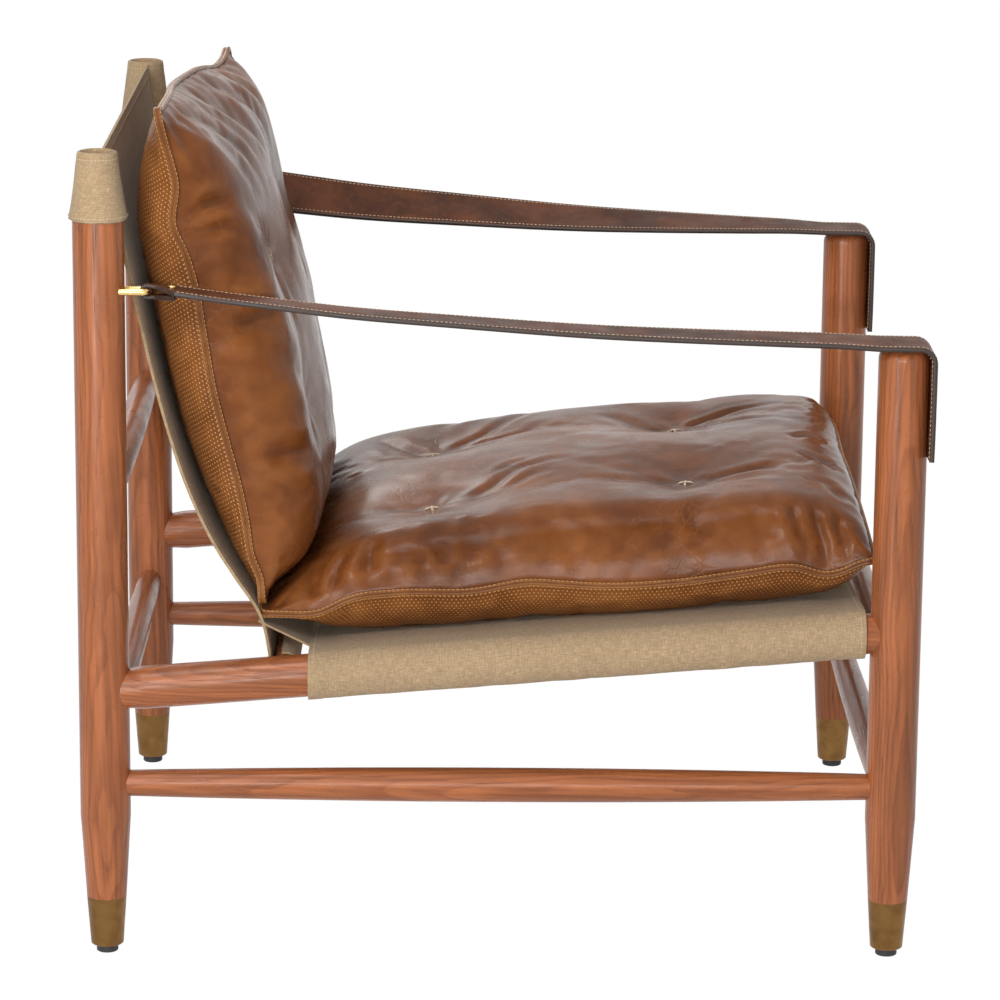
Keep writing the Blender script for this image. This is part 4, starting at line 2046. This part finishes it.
def seat_cushion(finishes: Finishes, stitches: StitchTree, pinholes: PinholeTree) -> Cushion:
    """The loose seat cushion, as the photograph shows it."""
    return Cushion(
        finishes, stitches, pinholes, label="seat", body=Body.SEAT,
        origin=(0.0, 0.2217, 0.3210), pitch_degrees=5.8, length=0.578, crown=0.065, belly=0.0546,
        top_shares=(0.0, 0.132, 0.382, 0.750, 0.920, 0.978, 1.0, 0.993, 0.970, 0.912, 0.765, 0.456, 0.0),
        belly_shares=(0.0, 0.155, 0.470, 0.820, 0.910, 0.936, 0.964, 0.987, 1.0, 0.980, 0.820, 0.470, 0.0),
        tuft_places=(0.163, 0.410),
        near_seam=((0.0, -0.002), (0.09, -0.007), (0.137, 0.004), (0.212, 0.0056), (0.337, -0.0007), (0.437, 0.003),
                   (0.482, -0.0012), (0.541, -0.0066), (0.673, -0.010), (0.784, -0.0068), (0.87, -0.006),
                   (0.915, -0.017), (0.944, -0.016), (0.986, -0.005), (1.0, -0.004)),
        far_seam=((0.0, 0.0), (0.2, 0.004), (0.4, -0.003), (0.6, 0.003), (0.8, 0.004), (0.9, 0.010), (1.0, 0.018)),
        first_seam=((-1.0, -0.002), (0.0, 0.002), (1.0, 0.0)),
        last_seam=((-1.0, -0.004), (-0.68, 0.013), (-0.2, 0.027), (0.35, 0.030), (0.75, 0.027), (1.0, 0.018)),
        first_pull=((-1.0, 0.0), (1.0, 0.0)),
        last_pull=((-1.0, 0.006), (0.0, 0.010), (0.8, 0.011), (1.0, 0.019)),
        folds=(
            Fold(((0.125, 0.418), (0.135, 0.445), (0.150, 0.475), (0.165, 0.515)), 0.0026, 0.006),
            Fold(((0.120, 0.420), (0.100, 0.455), (0.085, 0.493), (0.075, 0.525)), 0.0022, 0.007),
            Fold(((0.115, 0.400), (0.125, 0.375), (0.150, 0.350), (0.170, 0.325)), 0.0018, 0.009),
            Fold(((0.125, 0.175), (0.150, 0.218), (0.205, 0.259), (0.210, 0.295)), 0.0024, 0.007),
            Fold(((0.120, 0.180), (0.115, 0.224), (0.115, 0.255), (0.160, 0.285)), 0.0020, 0.006),
            Fold(((0.115, 0.155), (0.150, 0.125), (0.200, 0.100)), 0.0020, 0.009),
            Fold(
                ((-0.120, 0.190), (-0.100, 0.223), (-0.062, 0.246), (-0.045, 0.280), (-0.050, 0.316)), 0.0024, 0.007,
            ),
            Fold(((-0.125, 0.196), (-0.112, 0.235), (-0.090, 0.262), (-0.082, 0.290)), 0.0018, 0.006),
            Fold(((-0.075, 0.216), (-0.045, 0.243), (-0.028, 0.270)), 0.0018, 0.005, 0.4),
            Fold(((-0.120, 0.420), (-0.118, 0.453), (-0.115, 0.493), (-0.110, 0.530)), 0.0022, 0.007),
            Fold(((-0.135, 0.426), (-0.150, 0.464), (-0.155, 0.503)), 0.0018, 0.008),
            Fold(((-0.120, 0.400), (-0.118, 0.370), (-0.125, 0.332), (-0.126, 0.300)), 0.0016, 0.009),
            Fold(((0.100, 0.077), (0.100, 0.100), (0.100, 0.130), (0.115, 0.155)), 0.0018, 0.007),
            Fold(((0.038, 0.075), (0.046, 0.102), (0.035, 0.127)), 0.0018, 0.006),
            Fold(((-0.120, 0.155), (-0.115, 0.130), (-0.100, 0.105)), 0.0016, 0.008),
            Fold(((-0.070, 0.520), (-0.090, 0.545), (-0.125, 0.560)), 0.0022, 0.006, 0.3, 0.2),
            Fold(((-0.020, 0.515), (0.0, 0.540), (-0.010, 0.560)), 0.0022, 0.006, 0.4, 0.2),
            Fold(((-0.157, 0.520), (-0.175, 0.545), (-0.215, 0.560)), 0.0024, 0.006, 0.3, 0.2),
            Fold(((-0.264, 0.066), (-0.246, 0.074), (-0.225, 0.090)), 0.0030, 0.006, 0.05),
            Fold(((-0.264, 0.098), (-0.244, 0.103), (-0.222, 0.112)), 0.0026, 0.007, 0.05),
            Fold(((-0.263, 0.150), (-0.245, 0.152)), 0.0018, 0.006, 0.05),
            Fold(((-0.264, 0.512), (-0.246, 0.505), (-0.224, 0.500)), 0.0034, 0.006, 0.05),
            Fold(((-0.265, 0.532), (-0.248, 0.523), (-0.226, 0.520)), 0.0034, 0.006, 0.05),
            Fold(((-0.266, 0.552), (-0.250, 0.545), (-0.235, 0.548)), 0.0028, 0.005, 0.05),
        ),
        eared_end=1, seed=3,
    )


def back_cushion(finishes: Finishes, stitches: StitchTree, pinholes: PinholeTree) -> Cushion:
    """The loose back cushion, as the photograph shows it."""
    return Cushion(
        finishes, stitches, pinholes, label="back", body=Body.BACK,
        origin=(0.0, 0.3156, 0.7866), pitch_degrees=-78.5, length=0.466, crown=0.079, belly=0.054,
        top_shares=(0.0, 0.165, 0.418, 0.658, 0.835, 0.937, 0.987, 1.0, 0.987, 0.924, 0.696, 0.190, 0.0),
        belly_shares=(0.0, 0.200, 0.480, 0.815, 0.980, 1.0, 0.980, 0.917, 0.787, 0.537, 0.324, 0.148, 0.0),
        tuft_places=(0.170, 0.3195),
        near_seam=((0.0, 0.0), (0.039, 0.0), (0.095, 0.002), (0.135, 0.0024), (0.22, -0.0095), (0.268, -0.004),
                   (0.34, -0.0008), (0.446, -0.0025), (0.564, -0.0045), (0.66, -0.0026), (0.76, 0.0), (0.84, 0.0),
                   (0.906, -0.002), (0.958, 0.004), (1.0, -0.001)),
        far_seam=((0.0, 0.0), (0.2, -0.003), (0.4, 0.003), (0.6, -0.002), (0.8, 0.003), (1.0, 0.0)),
        first_seam=((-1.0, 0.0), (-0.6, 0.003), (-0.2, -0.002), (0.3, 0.003), (1.0, 0.0)),
        last_seam=((-1.0, -0.001), (0.0, 0.002), (1.0, 0.0)),
        first_pull=((-1.0, 0.0), (-0.8, -0.002), (-0.12, 0.003), (0.28, 0.008), (0.9, 0.021), (1.0, 0.016)),
        last_pull=((-1.0, 0.0), (1.0, 0.0)),
        folds=(
            Fold(
                ((-0.205, 0.006), (-0.160, 0.024), (-0.125, 0.043), (-0.085, 0.068), (-0.070, 0.095), (-0.060, 0.130)),
                0.0048, 0.011, 0.05,
            ),
            Fold(
                ((-0.060, 0.010), (-0.015, 0.034), (0.025, 0.058), (0.050, 0.090), (0.070, 0.130)),
                0.0042, 0.012, 0.05,
            ),
            Fold(((-0.140, 0.012), (-0.090, 0.034), (-0.045, 0.062), (-0.015, 0.100)), 0.0026, 0.008, 0.05),
            Fold(((0.040, 0.012), (0.100, 0.040), (0.140, 0.075), (0.155, 0.115)), 0.0036, 0.011, 0.05),
            Fold(((0.135, 0.012), (0.180, 0.042), (0.200, 0.080)), 0.0030, 0.009, 0.05),
            Fold(
                ((-0.250, 0.020), (-0.215, 0.050), (-0.180, 0.088), (-0.158, 0.120), (-0.160, 0.155)),
                -0.0036, 0.016, 0.2,
            ),
            Fold(((-0.264, 0.096), (-0.251, 0.091), (-0.225, 0.093)), 0.0042, 0.007, 0.02),
            Fold(((-0.263, 0.112), (-0.252, 0.114), (-0.236, 0.114)), 0.0022, 0.005, 0.05),
            Fold(((-0.262, 0.203), (-0.252, 0.206), (-0.235, 0.205), (-0.200, 0.212)), 0.0058, 0.012, 0.05),
            Fold(((-0.256, 0.230), (-0.234, 0.238), (-0.200, 0.268), (-0.150, 0.298)), 0.0028, 0.013),
            Fold(((-0.120, 0.180), (-0.125, 0.220), (-0.112, 0.260)), 0.0024, 0.009),
            Fold(((0.120, 0.180), (0.130, 0.230), (0.110, 0.270)), 0.0020, 0.010),
            Fold(((-0.262, 0.330), (-0.245, 0.334), (-0.205, 0.347)), 0.0046, 0.010, 0.05),
            Fold(((-0.120, 0.330), (-0.150, 0.370), (-0.165, 0.410)), 0.0022, 0.011),
        ),
        eared_end=0, twist=0.032, seed=5, tuft_depth=0.010, shoulder=0.90, roll=0.062,
    )


def main() -> None:
    """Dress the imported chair."""
    logging.basicConfig(level=logging.INFO, format="%(name)s: %(message)s")
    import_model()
    finishes = Finishes()
    stitches, pinholes = StitchTree(), PinholeTree()
    Studio().build()
    Timber(finishes).build()
    Fittings(finishes).build()
    for hand, side, turn in (("right", -1, 4.7), ("left", 1, 39.0)):
        ArmStrap(finishes, stitches, hand, side, turn).build()
    CanvasSling(finishes, stitches).build()
    seat_cushion(finishes, stitches, pinholes).build()
    back_cushion(finishes, stitches, pinholes).build()


if __name__ == "__main__":
    main()
